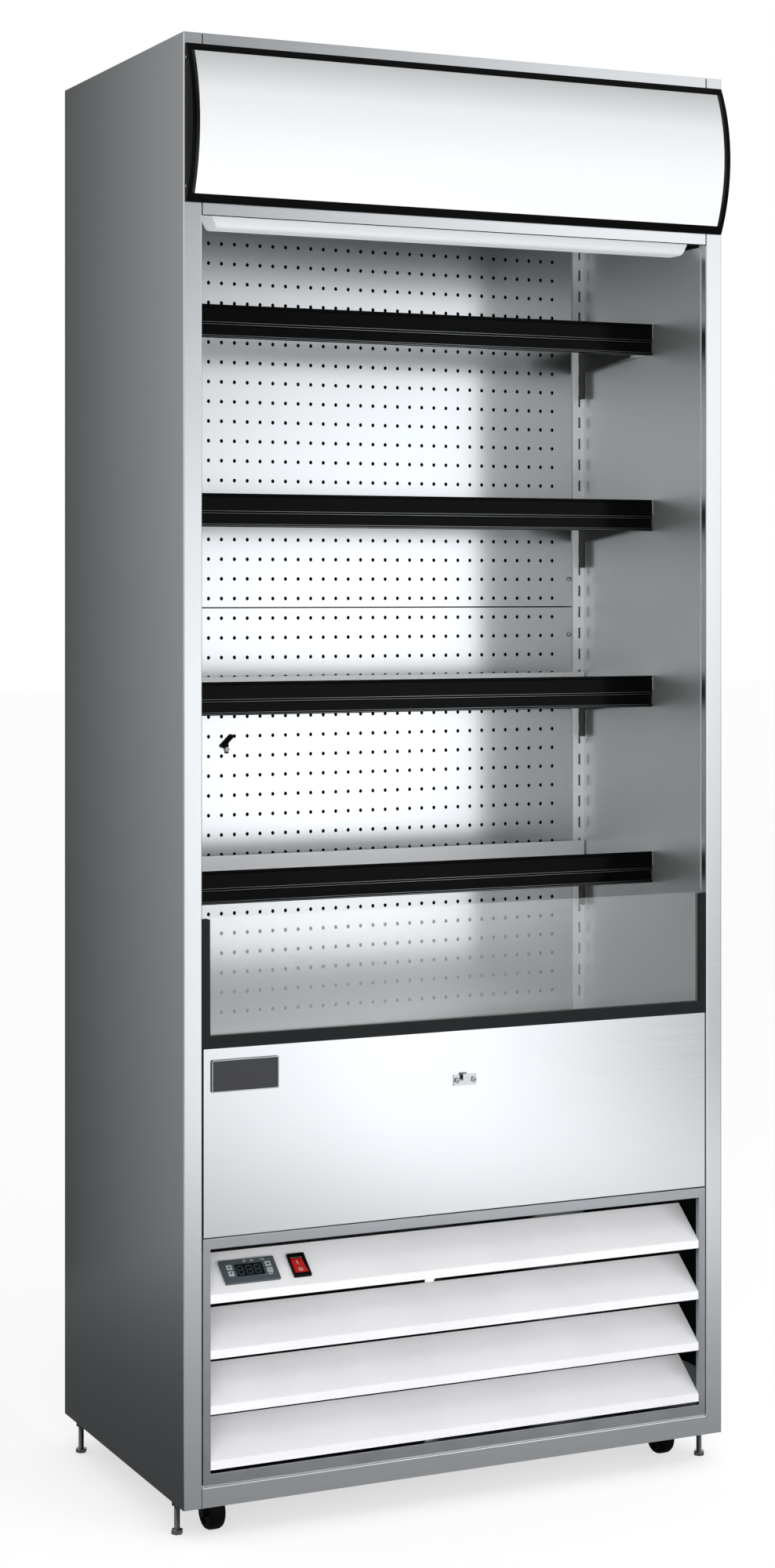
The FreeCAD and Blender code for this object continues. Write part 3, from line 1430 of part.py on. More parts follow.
# Compressor: a domed steel shell on a foot plate, with two pipe stubs.
compressor_x = half_width - d.compressor_right
compressor_y = front + d.compressor_setback
shell_low = base_top + d.compressor_foot
shell_high = base_top + d.compressor_height
shell = rod("compressor_shell", d.compressor_radius, "Z", (shell_low, shell_high), compressor_x, compressor_y)
dome = soften("compressor_dome", shell, d.compressor_dome, lambda box: near(box.ZMin, shell_high))
foot_reach = d.compressor_radius + d.compressor_foot
foot_plate = block(
    "compressor_feet", (compressor_x - foot_reach, compressor_x + foot_reach),
    (compressor_y - d.compressor_radius, compressor_y + d.compressor_radius),
    (base_top, base_top + d.compressor_foot_plate),
)
pedestal = rod(
    "compressor_pedestal", d.compressor_radius / 2, "Z", (base_top, shell_low + 1), compressor_x, compressor_y
)
stubs = []
for name, side in SIDES.items():
    stub_x = compressor_x + side * d.compressor_radius / 2
    stub_span = (shell_high - d.compressor_dome, shell_high + d.compressor_stub)
    stubs.append(rod(f"stub_{name}", d.compressor_stub_radius, "Z", stub_span, stub_x, compressor_y))
piece(join("compressor", dome, foot_plate, pedestal, *stubs), "compressor")

# Temperature probe: a black capsule held off the lower baffle by a strap clip.
probe_y = baffle_y[0] - d.clip_sheet - d.probe_radius
capsule = doc.addObject("Part::Cylinder", "probe_capsule")
bind(capsule, "Radius", d.probe_radius)
bind(capsule, "Height", d.probe_length)
capsule.Placement = FreeCAD.Placement(
    FreeCAD.Vector(), FreeCAD.Rotation(FreeCAD.Vector(0, 1, 0), d.probe_tilt.value)
)
bind(capsule, "Placement.Rotation.Angle", d.probe_tilt)
lean = d.probe_length * math.sqrt(0.5) / 2
place(capsule, clip_x - lean, probe_y, probe_level - lean)
strap_half = d.clip_width / 2
strap = block(
    "clip_strap", (clip_x - strap_half, clip_x + strap_half), (baffle_y[0] - d.clip_sheet, baffle_y[0]),
    (clip_screw_z - d.clip_width, probe_level + strap_half),
)
strap_hole = screw_hole("strap_hole", clip_x, baffle_y[0], clip_screw_z)
strap_open = cut("clip_strap_open", strap, strap_hole)
piece(gather("temperature_probe", capsule, strap_open), "temperature_probe")
screws.append(wall_screw("clip_screw", clip_x, baffle_y[0] - d.clip_sheet, clip_screw_z))

piece(gather("fasteners", *screws), "fasteners")

# Every object has to be sound before anything is written.
doc.recompute()
faults = [item.Name for item in doc.Objects if "Invalid" in item.State or "Error" in item.State]
for item in pieces:
    if item.Shape.isNull() or not item.Shape.isValid() or not item.Shape.Solids:
        faults.append(item.Label)
if faults:
    raise RuntimeError(f"unsound pieces: {faults}")

os.makedirs("parts", exist_ok=True)
for item in pieces:
    item.Shape.exportStep(f"parts/{item.Label}.step")
print(f"{len(pieces)} pieces written")
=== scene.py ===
import math

import bmesh
import bpy
from mathutils import Matrix, Vector


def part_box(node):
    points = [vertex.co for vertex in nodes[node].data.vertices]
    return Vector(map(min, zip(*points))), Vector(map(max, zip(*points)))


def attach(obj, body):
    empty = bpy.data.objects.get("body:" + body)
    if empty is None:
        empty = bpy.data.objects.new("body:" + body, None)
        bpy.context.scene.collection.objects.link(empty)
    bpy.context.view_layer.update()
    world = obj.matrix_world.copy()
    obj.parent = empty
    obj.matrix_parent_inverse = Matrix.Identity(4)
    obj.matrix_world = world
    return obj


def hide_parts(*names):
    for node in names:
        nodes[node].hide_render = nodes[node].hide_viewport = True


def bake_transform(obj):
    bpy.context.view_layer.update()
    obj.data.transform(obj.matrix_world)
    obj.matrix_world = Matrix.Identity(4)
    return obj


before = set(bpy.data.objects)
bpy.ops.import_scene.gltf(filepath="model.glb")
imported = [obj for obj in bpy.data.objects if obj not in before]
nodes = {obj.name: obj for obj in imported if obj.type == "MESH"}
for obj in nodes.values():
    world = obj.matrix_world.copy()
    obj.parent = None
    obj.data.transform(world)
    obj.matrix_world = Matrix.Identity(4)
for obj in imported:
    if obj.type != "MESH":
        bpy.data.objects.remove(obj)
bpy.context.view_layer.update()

# Camera
# Level, turned towards the left side of the case, with the horizon above the middle of the frame.
# The focal length, in pixels of the photograph's height, is the one that its converging edges give.
photo_height = 2000
focal_pixels = 3593
camera = bpy.data.cameras.new("photo_camera")
camera.sensor_fit = "VERTICAL"
camera.sensor_height = 36
camera.lens = camera.sensor_height * focal_pixels / photo_height
camera.shift_y = -0.124
viewer = bpy.data.objects.new("photo_camera", camera)
viewer.location = (-1.74626, -3.71518, 1.2626)
viewer.rotation_euler = (math.radians(90), 0, math.radians(-25.05))
bpy.context.scene.collection.objects.link(viewer)
bpy.context.scene.camera = viewer

# Stage
# White studio: pale floor that keeps the shadow, white surroundings, and four softboxes in front. The
# camera, mirrors and glass see the surroundings at full white, and the case is lit by half of that.


def linear(code):
    """A hex colour as the linear red, green, blue and alpha that sockets take."""
    parts = [int(code[i:i + 2], 16) / 255 for i in (1, 3, 5)]
    return tuple(c / 12.92 if c <= 0.04045 else ((c + 0.055) / 1.055) ** 2.4 for c in parts) + (1,)


def add(tree, kind, inputs, **settings):
    """Adds a shader node; a value in inputs is set on its socket, and an output socket is linked to it."""
    node = tree.nodes.new("ShaderNode" + kind)
    for name, value in settings.items():
        setattr(node, name, value)
    for name, value in inputs.items():
        if isinstance(value, bpy.types.NodeSocket):
            tree.links.new(value, node.inputs[name])
        else:
            node.inputs[name].default_value = value
    return node


def new_material(name):
    """A material with its node tree and the shader that the tree starts with."""
    material = bpy.data.materials.new(name)
    material.use_nodes = True
    return material, material.node_tree, material.node_tree.nodes["Principled BSDF"]


def finished(name, shape, material):
    """Makes an object at the origin from a bmesh, which is freed, and gives it its material."""
    mesh = bpy.data.meshes.new(name)
    shape.to_mesh(mesh)
    shape.free()
    mesh.materials.append(material)
    item = bpy.data.objects.new(name, mesh)
    bpy.context.scene.collection.objects.link(item)
    return item


bpy.context.scene.view_settings.view_transform = "Standard"
world = bpy.data.worlds.new("studio")
bpy.context.scene.world = world
world.use_nodes = True
tree = world.node_tree
path = add(tree, "LightPath", {})
seen = path.outputs["Is Camera Ray"]
for ray in ("Is Glossy Ray", "Is Transmission Ray"):
    seen = add(tree, "Math", {0: seen, 1: path.outputs[ray]}, operation="MAXIMUM").outputs[0]
strength = add(tree, "MapRange", {"Value": seen, "To Min": 0.5, "To Max": 1.0})
tree.links.new(strength.outputs[0], tree.nodes["Background"].inputs["Strength"])
tree.nodes["Background"].inputs["Color"].default_value = linear("#ffffff")

paint, tree, shade = new_material("floor_white")
shade.inputs["Roughness"].default_value = 0.9
shade.inputs["Base Color"].default_value = linear("#d2d2d2")
shade.inputs["Emission Color"].default_value = linear("#ffffff")
path = add(tree, "LightPath", {})
lift = add(tree, "Math", {0: path.outputs["Is Camera Ray"], 1: 0.6}, operation="MULTIPLY")
tree.links.new(lift.outputs[0], shade.inputs["Emission Strength"])
shape = bmesh.new()
bmesh.ops.create_grid(shape, x_segments=1, y_segments=1, size=30)
floor = finished("floor", shape, paint)

for name, place, aim, size, power in (
    ("softbox_right", (2.3, -4.1, 1.35), (0, 0, 1.1), (2.6, 2.1), 44),
    ("softbox_left", (-3.6, -3.6, 1.2), (0, 0, 0.9), (2.4, 2.2), 28),
    ("softbox_low", (-0.7, -3.2, 0.45), (0, -0.2, 0.3), (3.0, 0.8), 36),
    ("softbox_top", (0.2, -2.4, 3.4), (0, -0.1, 0.9), (2.4, 1.2), 10),
):
    lamp = bpy.data.lights.new(name, "AREA")
    lamp.shape = "RECTANGLE"
    lamp.size, lamp.size_y = size
    lamp.energy = power
    item = bpy.data.objects.new(name, lamp)
    item.location = place
    item.rotation_euler = (Vector(aim) - Vector(place)).to_track_quat("-Z", "Y").to_euler()
    item.visible_glossy = False
    bpy.context.scene.collection.objects.link(item)

# Reflector cards
# Boards that only reflections see: in front of the case, on the floor before it and beside it, and
# behind its left side. Each is lit by soft pools: centre across and up the board, two reaches, level.
for name, corner, across, up, base, pools in (
    ("card_front", (-1, -4.3, 0), (4.4, 0, 0), (0, 0, 4), 0.22, (
        (3.02, 0.40, 0.70, 2.30, 1.35), (4.00, 2.30, 0.75, 1.60, 1.30), (1.15, 0.95, 2.35, 1.10, 1.42),
    )),
    ("card_front_floor", (-0.5, -4.3, 0.004), (3.9, 0, 0), (0, 4, 0), 0.19, (
        (1.70, 1.50, 0.60, 1.30, 1.60), (2.15, -0.15, 0.55, 1.05, 0.95), (0.60, 0.50, 2.00, 3.00, 0.80),
    )),
    ("card_left", (-1.6, 1.2, 0), (1.2, 0, 0), (0, 0, 2.75), 0.0, (
        (0.02, 1.70, 0.41, 2.80, 0.58), (0.53, 1.90, 0.30, 2.70, 0.41),
    )),
    ("card_left_floor", (-1.6, -0.4, 0.004), (1.17, 0, 0), (0, 1.6, 0), 0.06, (
        (0.07, 2.60, 0.62, 2.20, 0.42),
    )),
):
    corner, across, up = Vector(corner), Vector(across), Vector(up)
    shape = bmesh.new()
    bmesh.ops.create_grid(shape, x_segments=32, y_segments=32, size=0.5)
    level = shape.verts.layers.float.new("level")
    for point in shape.verts:
        u, v = point.co.x + 0.5, point.co.y + 0.5
        point[level] = base + sum(
            light * math.exp(-((u * across.length - x) / wide) ** 2 - ((v * up.length - y) / tall) ** 2)
            for x, y, wide, tall, light in pools
        )
        point.co = corner + across * u + up * v
    paint, tree, shade = new_material(name)
    level = add(tree, "Attribute", {}, attribute_name="level")
    light = add(tree, "Emission", {"Color": linear("#fafcff"), "Strength": level.outputs["Fac"]})
    tree.links.new(light.outputs[0], tree.nodes["Material Output"].inputs["Surface"])
    card = finished(name, shape, paint)
    card.visible_camera = False
    card.visible_diffuse = False
    card.visible_transmission = False
    card.visible_shadow = False

# Brushed stainless sheet
# Cold-rolled sheet, folded and spot-welded, brushed along its width: reflections spread up and down. The
# streaks are drawn about 1 mm wide and 170 mm long, coarser than the real grit, so that they show.


def tint(colour, factor):
    """A hex colour made darker or lighter, as linear values."""
    return tuple(min(1, c * factor) for c in linear(colour)[:3]) + (1,)


def dress(members, material):
    """Gives CAD nodes this material in place of their plain one."""
    for member in members:
        slots = nodes[member].data.materials
        slots.clear()
        slots.append(material)


streaks_per_metre = (6, 6, 900)
steel_sheets = {
    "steel_outside": ("#c9cbcc", 0.21, 1.0, [
        "left_side_panel", "right_side_panel", "top_panel", "rear_panel", "base_frame", "front_cross_rails",
        "lower_front_panel",
    ]),
    "steel_baffle": ("#c8cacb", 0.20, 1.0, ["rear_baffles"]),
    # The shelf, standard and liner copies of this sheet are whiter and partly diffuse, so that they read
    # brighter inside the case: painted light.
    "steel_shelf": ("#eff0f1", 0.45, 0.35, [
        "shelf_1", "shelf_2", "shelf_3", "shelf_4", "deck_panel", "well_pan",
    ]),
    "steel_liner": ("#d6d9da", 0.34, 0.78, ["inner_liner", "ceiling_panel", "header_housing"]),
    "steel_standard": ("#f0f2f3", 0.40, 0.35, ["shelf_standards"]),
}
for name, (colour, roughness, metallic, members) in steel_sheets.items():
    steel, tree, shade = new_material(name)
    shade.inputs["Metallic"].default_value = metallic
    shade.inputs["Anisotropic"].default_value = 0.5
    shade.inputs["Anisotropic Rotation"].default_value = 0.25
    tangent = add(tree, "Tangent", {}, direction_type="RADIAL", axis="Z")
    tree.links.new(tangent.outputs[0], shade.inputs["Tangent"])
    place = add(tree, "TexCoord", {})
    stretch = add(tree, "Mapping", {"Vector": place.outputs["Object"], "Scale": streaks_per_metre})
    grain = add(tree, "TexNoise", {"Vector": stretch.outputs[0], "Scale": 1.0, "Detail": 3.0})
    cloud = add(tree, "TexNoise", {"Vector": place.outputs["Object"], "Scale": 3.0, "Detail": 2.0})
    mix = add(tree, "Math", {0: grain.outputs[0], 1: cloud.outputs[0]}, operation="ADD")
    rough = add(tree, "MapRange", {
        "Value": mix.outputs[0], "From Min": 0.6, "From Max": 1.4,
        "To Min": roughness - 0.02, "To Max": roughness + 0.02,
    })
    tree.links.new(rough.outputs[0], shade.inputs["Roughness"])
    ramp = add(tree, "ValToRGB", {"Fac": grain.outputs[0]})
    ramp.color_ramp.elements[0].color = tint(colour, 0.97)
    ramp.color_ramp.elements[1].color = tint(colour, 1.03)
    tree.links.new(ramp.outputs[0], shade.inputs["Base Color"])
    bump = add(tree, "Bump", {"Height": grain.outputs[0], "Strength": 0.005, "Distance": 0.0003})
    tree.links.new(bump.outputs[0], shade.inputs["Normal"])
    dress(members, steel)

# Plastics, paints and plated metal
# Moulded plastics, enamel, anodised aluminium and zinc plate: colour, roughness, metal, gloss, and the
# grain's count. The count, per 100 mm, gives grit of 0.5 to 2.5 mm, drawn coarse, under wider clouds.
finishes = {
    "black_gloss": ("#010101", 0.18, 0.0, 0.05, 40, [
        "price_rail_1", "price_rail_2", "price_rail_3", "price_rail_4",
    ]),
    # The condenser is black here partly as a black-coated coil and partly as painted shade, so that the
    # machine bay reads dark behind the louvres.
    "black_satin": ("#060707", 0.4, 0.0, 0.06, 90, [
        "lamp_holders", "switch_housing", "temperature_probe", "caster_fork_left", "caster_fork_right",
        "caster_plates", "evaporator_fan", "condenser_fan", "compressor", "condenser", "front_wheel_left",
        "front_wheel_right", "rear_wheel_left", "rear_wheel_right",
    ]),
    "black_trim": ("#020202", 0.35, 0.0, 0.05, 90, ["header_trim"]),
    "black_bracket": ("#0c0e0f", 0.35, 0.0, 0.3, 90, ["shelf_brackets"]),
    "black_channel": ("#0c0e10", 0.35, 0.0, 0.18, 90, ["glass_channel"]),
    "white_enamel": ("#f4f4f6", 0.35, 0.0, 0.5, 60, ["louvres"]),
    "grey_anodised": ("#a4a7a9", 0.34, 1.0, 0.5, 120, ["grille_frame", "curtain_bar", "evaporator"]),
    "bright_zinc": ("#aeb1b3", 0.2, 1.0, 0.5, 200, ["curtain_catch"]),
    "dark_zinc": ("#83878a", 0.28, 1.0, 0.5, 200, [
        "fasteners", "levelling_foot_front_left", "levelling_foot_front_right", "levelling_foot_rear_left",
        "levelling_foot_rear_right",
    ]),
    "plate_black": ("#232426", 0.30, 0.0, 0.4, 150, ["name_plate"]),
    "control_grey": ("#485257", 0.35, 0.0, 0.4, 200, ["controller_body"]),
    "key_grey": ("#b4babc", 0.4, 0.0, 0.4, 200, [
        "button_lower_left", "button_lower_right", "button_upper_left", "button_upper_right",
    ]),
    "red_rocker": ("#c4140e", 0.22, 0.0, 0.5, 200, ["rocker"]),
    "curtain_film": ("#d9dcde", 0.45, 0.0, 0.5, 120, ["curtain_roller"]),
    "lamp_white": ("#a4a6a7", 0.4, 0.0, 0.5, 60, ["lamp_diffuser"]),
}
for name, (colour, roughness, metallic, gloss, count, members) in finishes.items():
    finish, tree, shade = new_material(name)
    shade.inputs["Metallic"].default_value = metallic
    shade.inputs["Specular IOR Level"].default_value = gloss
    place = add(tree, "TexCoord", {})
    grain = add(tree, "TexNoise", {"Vector": place.outputs["Object"], "Scale": count * 10.0, "Detail": 2.0})
    cloud = add(tree, "TexNoise", {"Vector": place.outputs["Object"], "Scale": count / 6.0, "Detail": 2.0})
    rough = add(tree, "MapRange", {
        "Value": cloud.outputs[0], "From Min": 0.3, "From Max": 0.7,
        "To Min": roughness - 0.04, "To Max": roughness + 0.04,
    })
    tree.links.new(rough.outputs[0], shade.inputs["Roughness"])
    ramp = add(tree, "ValToRGB", {"Fac": cloud.outputs[0]})
    ramp.color_ramp.elements[0].color = tint(colour, 0.92)
    ramp.color_ramp.elements[1].color = tint(colour, 1.06)
    tree.links.new(ramp.outputs[0], shade.inputs["Base Color"])
    bump = add(tree, "Bump", {"Height": grain.outputs[0], "Strength": 0.05, "Distance": 0.0003})
    tree.links.new(bump.outputs[0], shade.inputs["Normal"])
    dress(members, finish)

# Case lamp
# Opal tube cover, clipped into two holders under the lower rail, over a weak lamp: it glows a little, and
# the baffles behind it mirror that.
shade = bpy.data.materials["lamp_white"].node_tree.nodes["Principled BSDF"]
shade.inputs["Emission Color"].default_value = linear("#f4f6f8")
shade.inputs["Emission Strength"].default_value = 0.45

# Duct and bay shade sheets
# Near-black sheets on the wall of the air duct and on the sides of the machine bay, laid on as thin plates
# with a foam-like pattern of 2 mm cells: painted shade, so that the baffles' holes and the ends of the
# louvres read as black from the front.


def thicken(shape, faces, along):
    """Extrudes flat faces along a vector, so that each becomes a plate."""
    raised = bmesh.ops.extrude_face_region(shape, geom=faces)
    corners = [part for part in raised["geom"] if isinstance(part, bmesh.types.BMVert)]
    bmesh.ops.translate(shape, vec=along, verts=corners)


shade_sheet_paint, tree, shade = new_material("lining_foam")
place = add(tree, "TexCoord", {})
cells = add(tree, "TexVoronoi", {"Vector": place.outputs["Object"], "Scale": 500.0})
ramp = add(tree, "ValToRGB", {"Fac": cells.outputs["Distance"]})
# Painted shade: near-black sheet colour.
ramp.color_ramp.elements[0].color = linear("#0c0d0e")
ramp.color_ramp.elements[1].color = linear("#16181a")
tree.links.new(ramp.outputs[0], shade.inputs["Base Color"])
shade.inputs["Roughness"].default_value = 0.9
shade.inputs["Specular IOR Level"].default_value = 0.1
shade_sheet_thickness = 0.002
low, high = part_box("rear_baffles")
duct_y = 0.148
duct_middle = (0, duct_y, (low.z + high.z) / 2)
duct_height = high.z - low.z - 0.01
bay_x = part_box("right_side_panel")[1].x - 0.0032
for name, middle, across, up, inwards in (
    ("duct_lining", duct_middle, (0.71, 0, 0), (0, 0, duct_height), (0, -1, 0)),
    ("bay_lining_left", (-bay_x, -0.02, 0.25), (0, 0.38, 0), (0, 0, 0.25), (1, 0, 0)),
    ("bay_lining_right", (bay_x, -0.02, 0.25), (0, 0.38, 0), (0, 0, 0.25), (-1, 0, 0)),
):
    middle, across, up, inwards = Vector(middle), Vector(across), Vector(up), Vector(inwards)
    shape = bmesh.new()
    bmesh.ops.create_grid(shape, x_segments=30, y_segments=48, size=0.5)
    for point in shape.verts:
        u, v = point.co.x, point.co.y
        ripple = 0.0006 * math.sin(u * 90) * math.sin(v * 140)
        point.co = middle + across * u + up * v + inwards * ripple
    thicken(shape, shape.faces[:], inwards * shade_sheet_thickness)
    bmesh.ops.recalc_face_normals(shape, faces=shape.faces)
    shade_sheet = finished(name, shape, shade_sheet_paint)
    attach(shade_sheet, "cabinet")

# Header lens
# Opal acrylic, bent to its curve, with painted light: brightest below the middle under a faint painted glow
# that fades out upwards, painted shade greyer towards its upper edge, and painted black in a narrow border
# at each end, where it meets the end caps.
opal, tree, shade = new_material("opal_acrylic")
shade.inputs["Roughness"].default_value = 0.25
shade.inputs["Specular IOR Level"].default_value = 0.2
low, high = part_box("header_lens")
border_inside = high.x - 0.0044
border_outside = high.x - 0.0040
place = add(tree, "TexCoord", {})
spot = add(tree, "SeparateXYZ", {"Vector": place.outputs["Object"]})
rise = add(tree, "MapRange", {"Value": spot.outputs["Z"], "From Min": low.z, "From Max": high.z})
# Painted shade: grey at the upper edge, whiter lower down.
ramp = add(tree, "ValToRGB", {"Fac": rise.outputs[0]})
ramp.color_ramp.elements[0].color = linear("#eceeef")
ramp.color_ramp.elements[1].color = linear("#bec1c2")
ramp.color_ramp.elements.new(0.72).color = linear("#e2e4e5")
across = add(tree, "Math", {0: spot.outputs["X"]}, operation="ABSOLUTE")
painted = add(tree, "MapRange", {
    "Value": across.outputs[0], "From Min": border_inside, "From Max": border_outside,
})
skin = add(tree, "MixRGB", {
    "Fac": painted.outputs[0], "Color1": ramp.outputs[0], "Color2": linear("#08090a"),
})
tree.links.new(skin.outputs[0], shade.inputs["Base Color"])
# Painted glow: emission strongest at the foot of the lens, none at its top.
painted_glow_fade = add(tree, "MapRange", {"Value": rise.outputs[0], "To Min": 0.10, "To Max": 0.0})
bare = add(tree, "Math", {0: 1.0, 1: painted.outputs[0]}, operation="SUBTRACT")
painted_glow = add(tree, "Math", {0: painted_glow_fade.outputs[0], 1: bare.outputs[0]}, operation="MULTIPLY")
shade.inputs["Emission Color"].default_value = linear("#ffffff")
tree.links.new(painted_glow.outputs[0], shade.inputs["Emission Strength"])
dress(["header_lens"], opal)

# Glass front
# Clear float glass: nearly all passes straight through, under a thin white haze on its front face: a
# painted reflection, strongest at the left and fading to the right.
# Alpha thins the gloss too, so the IOR stands above that of glass to keep the real strength of reflection.
glass, tree, shade = new_material("float_glass")
shade.inputs["Base Color"].default_value = linear("#eef3f2")
shade.inputs["Roughness"].default_value = 0.03
shade.inputs["IOR"].default_value = 2.2
shade.inputs["Specular IOR Level"].default_value = 1.0
low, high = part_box("glass_pane")
place = add(tree, "TexCoord", {})
spot = add(tree, "SeparateXYZ", {"Vector": place.outputs["Object"]})
# Painted reflection: white haze alpha, strongest at the left.
painted_reflection_fade = add(tree, "MapRange", {
    "Value": spot.outputs["X"], "From Min": -0.1, "From Max": 0.35, "To Min": 0.24, "To Max": 0.09,
})
front = add(tree, "Math", {0: spot.outputs["Y"], 1: (low.y + high.y) / 2}, operation="LESS_THAN")
alpha = add(tree, "Math", {0: painted_reflection_fade.outputs[0], 1: front.outputs[0]}, operation="MULTIPLY")
tree.links.new(alpha.outputs[0], shade.inputs["Alpha"])
dress(["glass_pane"], glass)

# Screw heads
# Pan heads pressed in bright steel, domed towards the rim, each with a cross recess for the driver, drawn
# as a black cross on the dome: painted shade in the recess.
# They sit on the flat heads at the catch, on the baffles and on the header's end caps.


def spin_profile(shape, points, axis, centre, steps, closed=False):
    """Spins a profile through a full turn about an axis, and merges its seam and poles."""
    line = [shape.verts.new(point) for point in points]
    pairs = list(zip(line, line[1:]))
    if closed:
        pairs.append((line[-1], line[0]))
    edges = [shape.edges.new(pair) for pair in pairs]
    bmesh.ops.spin(
        shape, geom=line + edges, axis=axis, cent=centre, angle=2 * math.pi, steps=steps,
        use_merge=True, use_duplicate=False,
    )
    bmesh.ops.remove_doubles(shape, verts=shape.verts, dist=0.00001)
    bmesh.ops.recalc_face_normals(shape, faces=shape.faces)


pan_radius = 0.0036
cap_radius = 0.0022
heads = [(x, -0.2344, 0.585, pan_radius, "front") for x in (-0.0125, 0.0125)]
heads += [(x, 0.1301, z, pan_radius, "front") for x in (-0.363, 0.363) for z in (1.193, 1.279)]
heads += [(x, -0.235, z, cap_radius, "side") for x in (-0.4134, 0.4134) for z in (1.795, 1.965)]
dome = [(0, 0.20), (0.55, 0.19), (0.80, 0.14), (0.95, 0.06), (1.0, 0), (0, 0)]
for name, finish in (("screw_domes", "bright_zinc"), ("screw_recesses", "black_satin")):
    shape = bmesh.new()
    for x, y, z, radius, facing in heads:
        turn = Matrix.Rotation(math.radians(90), 4, "X")
        if facing == "side":
            turn = Matrix.Rotation(math.radians(math.copysign(90, x)), 4, "Y")
        pose = Matrix.Translation((x, y, z)) @ turn
        if name == "screw_domes":
            points = [pose @ Vector((r * radius, 0, h * radius)) for r, h in dome]
            spin_profile(shape, points, turn.to_3x3() @ Vector((0, 0, 1)), (x, y, z), 24)
        else:
            for long, short in ((1.0, 0.2), (0.2, 1.0)):
                size = Matrix.Diagonal((long * radius, short * radius, 0.08 * radius, 1))
                lift = Matrix.Translation((0, 0, 0.18 * radius))
                bmesh.ops.create_cube(shape, size=1, matrix=pose @ lift @ size)
    bmesh.ops.recalc_face_normals(shape, faces=shape.faces)
    item = finished(name, shape, bpy.data.materials[finish])
    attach(item, "cabinet")

# Price rail lines
# The extruded ribs of the price rails catch light along their edges, drawn as painted highlights: four fine
# lines on each rail, dull at the left, brightest past the middle and lost at the right.
rib_highlight_paint, tree, shade = new_material("rubbed_rib")
shade.inputs["Roughness"].default_value = 0.35
place = add(tree, "TexCoord", {})
spot = add(tree, "SeparateXYZ", {"Vector": place.outputs["Object"]})
along = add(tree, "MapRange", {"Value": spot.outputs["X"], "From Min": -0.386, "From Max": 0.386})
# Painted highlight along the ribs, brightest past the middle.
ramp = add(tree, "ValToRGB", {"Fac": along.outputs[0]})
ramp.color_ramp.elements[0].color = linear("#3c4042")
ramp.color_ramp.elements[1].color = linear("#0a0b0c")
ramp.color_ramp.elements.new(0.55).color = linear("#7d8386")
ramp.color_ramp.elements.new(0.80).color = linear("#585d60")
tree.links.new(ramp.outputs[0], shade.inputs["Base Color"])
line_depth = 0.0003
line_height = 0.0006
for number in ("1", "2", "3", "4"):
    low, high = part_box("price_rail_" + number)
    shape = bmesh.new()
    for rise, depth in ((0.0221, 0.0007), (0.0191, 0.0014), (0.0040, 0.0008), (0.0016, 0.0)):
        place = Matrix.Translation((0, low.y + depth, low.z + rise))
        size = Matrix.Diagonal((high.x - low.x - 0.002, line_depth, line_height, 1))
        bmesh.ops.create_cube(shape, size=1, matrix=place @ size)
    lines = finished("price_rail_lines_" + number, shape, rib_highlight_paint)
    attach(lines, "shelf_" + number)

# Rail seams
# Dark strips seen from the front: at both ends of the two cross rails they are open joints between folded
# sheets, and under the lower rail the strip is painted shade along the folded edge. Each is a flat strip that
# stands a little proud of the rails' face.
rails_low, rails_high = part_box("front_cross_rails")
trim_low, trim_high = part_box("header_trim")
seam_width = 0.0012
seam_depth = 0.0003
strips = [(0, rails_low.z + seam_width / 2, rails_high.x - rails_low.x, seam_width)]
for bottom, top in ((rails_low.z, trim_low.z), (trim_high.z, rails_high.z)):
    for end in (rails_low.x, rails_high.x):
        strips.append((end, (bottom + top) / 2, seam_width, top - bottom))
shape = bmesh.new()
for x, z, wide, tall in strips:
    place = Matrix.Translation((x, rails_low.y, z))
    size = Matrix.Diagonal((wide, seam_depth, tall, 1))
    bmesh.ops.create_cube(shape, size=1, matrix=place @ size)
joint_and_shade_strips = finished("rail_joints_and_shade", shape, bpy.data.materials["black_satin"])
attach(joint_and_shade_strips, "cabinet")

# Name plate rim
# The bare plate is stamped from sheet with a narrow raised rim and rounded corners; the rim is given
# bright metal as a painted highlight along the plate's edge.
rim_width = 0.0009
rim_height = 0.0003
plate_corner = 0.002
plate_margin = 0.0006
low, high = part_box("name_plate")
shape = bmesh.new()
bmesh.ops.create_grid(shape, x_segments=1, y_segments=1, size=0.5)
place = Matrix.Translation(((low.x + high.x) / 2, low.y, (low.z + high.z) / 2))
size = Matrix.Diagonal((high.x - low.x - plate_margin, high.z - low.z - plate_margin, 1, 1))
shape.transform(place @ Matrix.Rotation(math.radians(90), 4, "X") @ size)
shape.normal_update()
bmesh.ops.bevel(
    shape, geom=shape.verts[:], offset=plate_corner, offset_type="OFFSET", affect="VERTICES", segments=4,
    profile=0.5, material=-1,
)
shape.normal_update()
inset = bmesh.ops.inset_region(
    shape, faces=shape.faces[:], use_boundary=True, use_even_offset=True, thickness=rim_width
)
inside = [face for face in shape.faces if face not in inset["faces"]]
bmesh.ops.delete(shape, geom=inside, context="FACES")
thicken(shape, shape.faces[:], (0, -rim_height, 0))
bmesh.ops.recalc_face_normals(shape, faces=shape.faces)
rim = finished("name_plate_highlight_rim", shape, bpy.data.materials["bright_zinc"])
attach(rim, "cabinet")

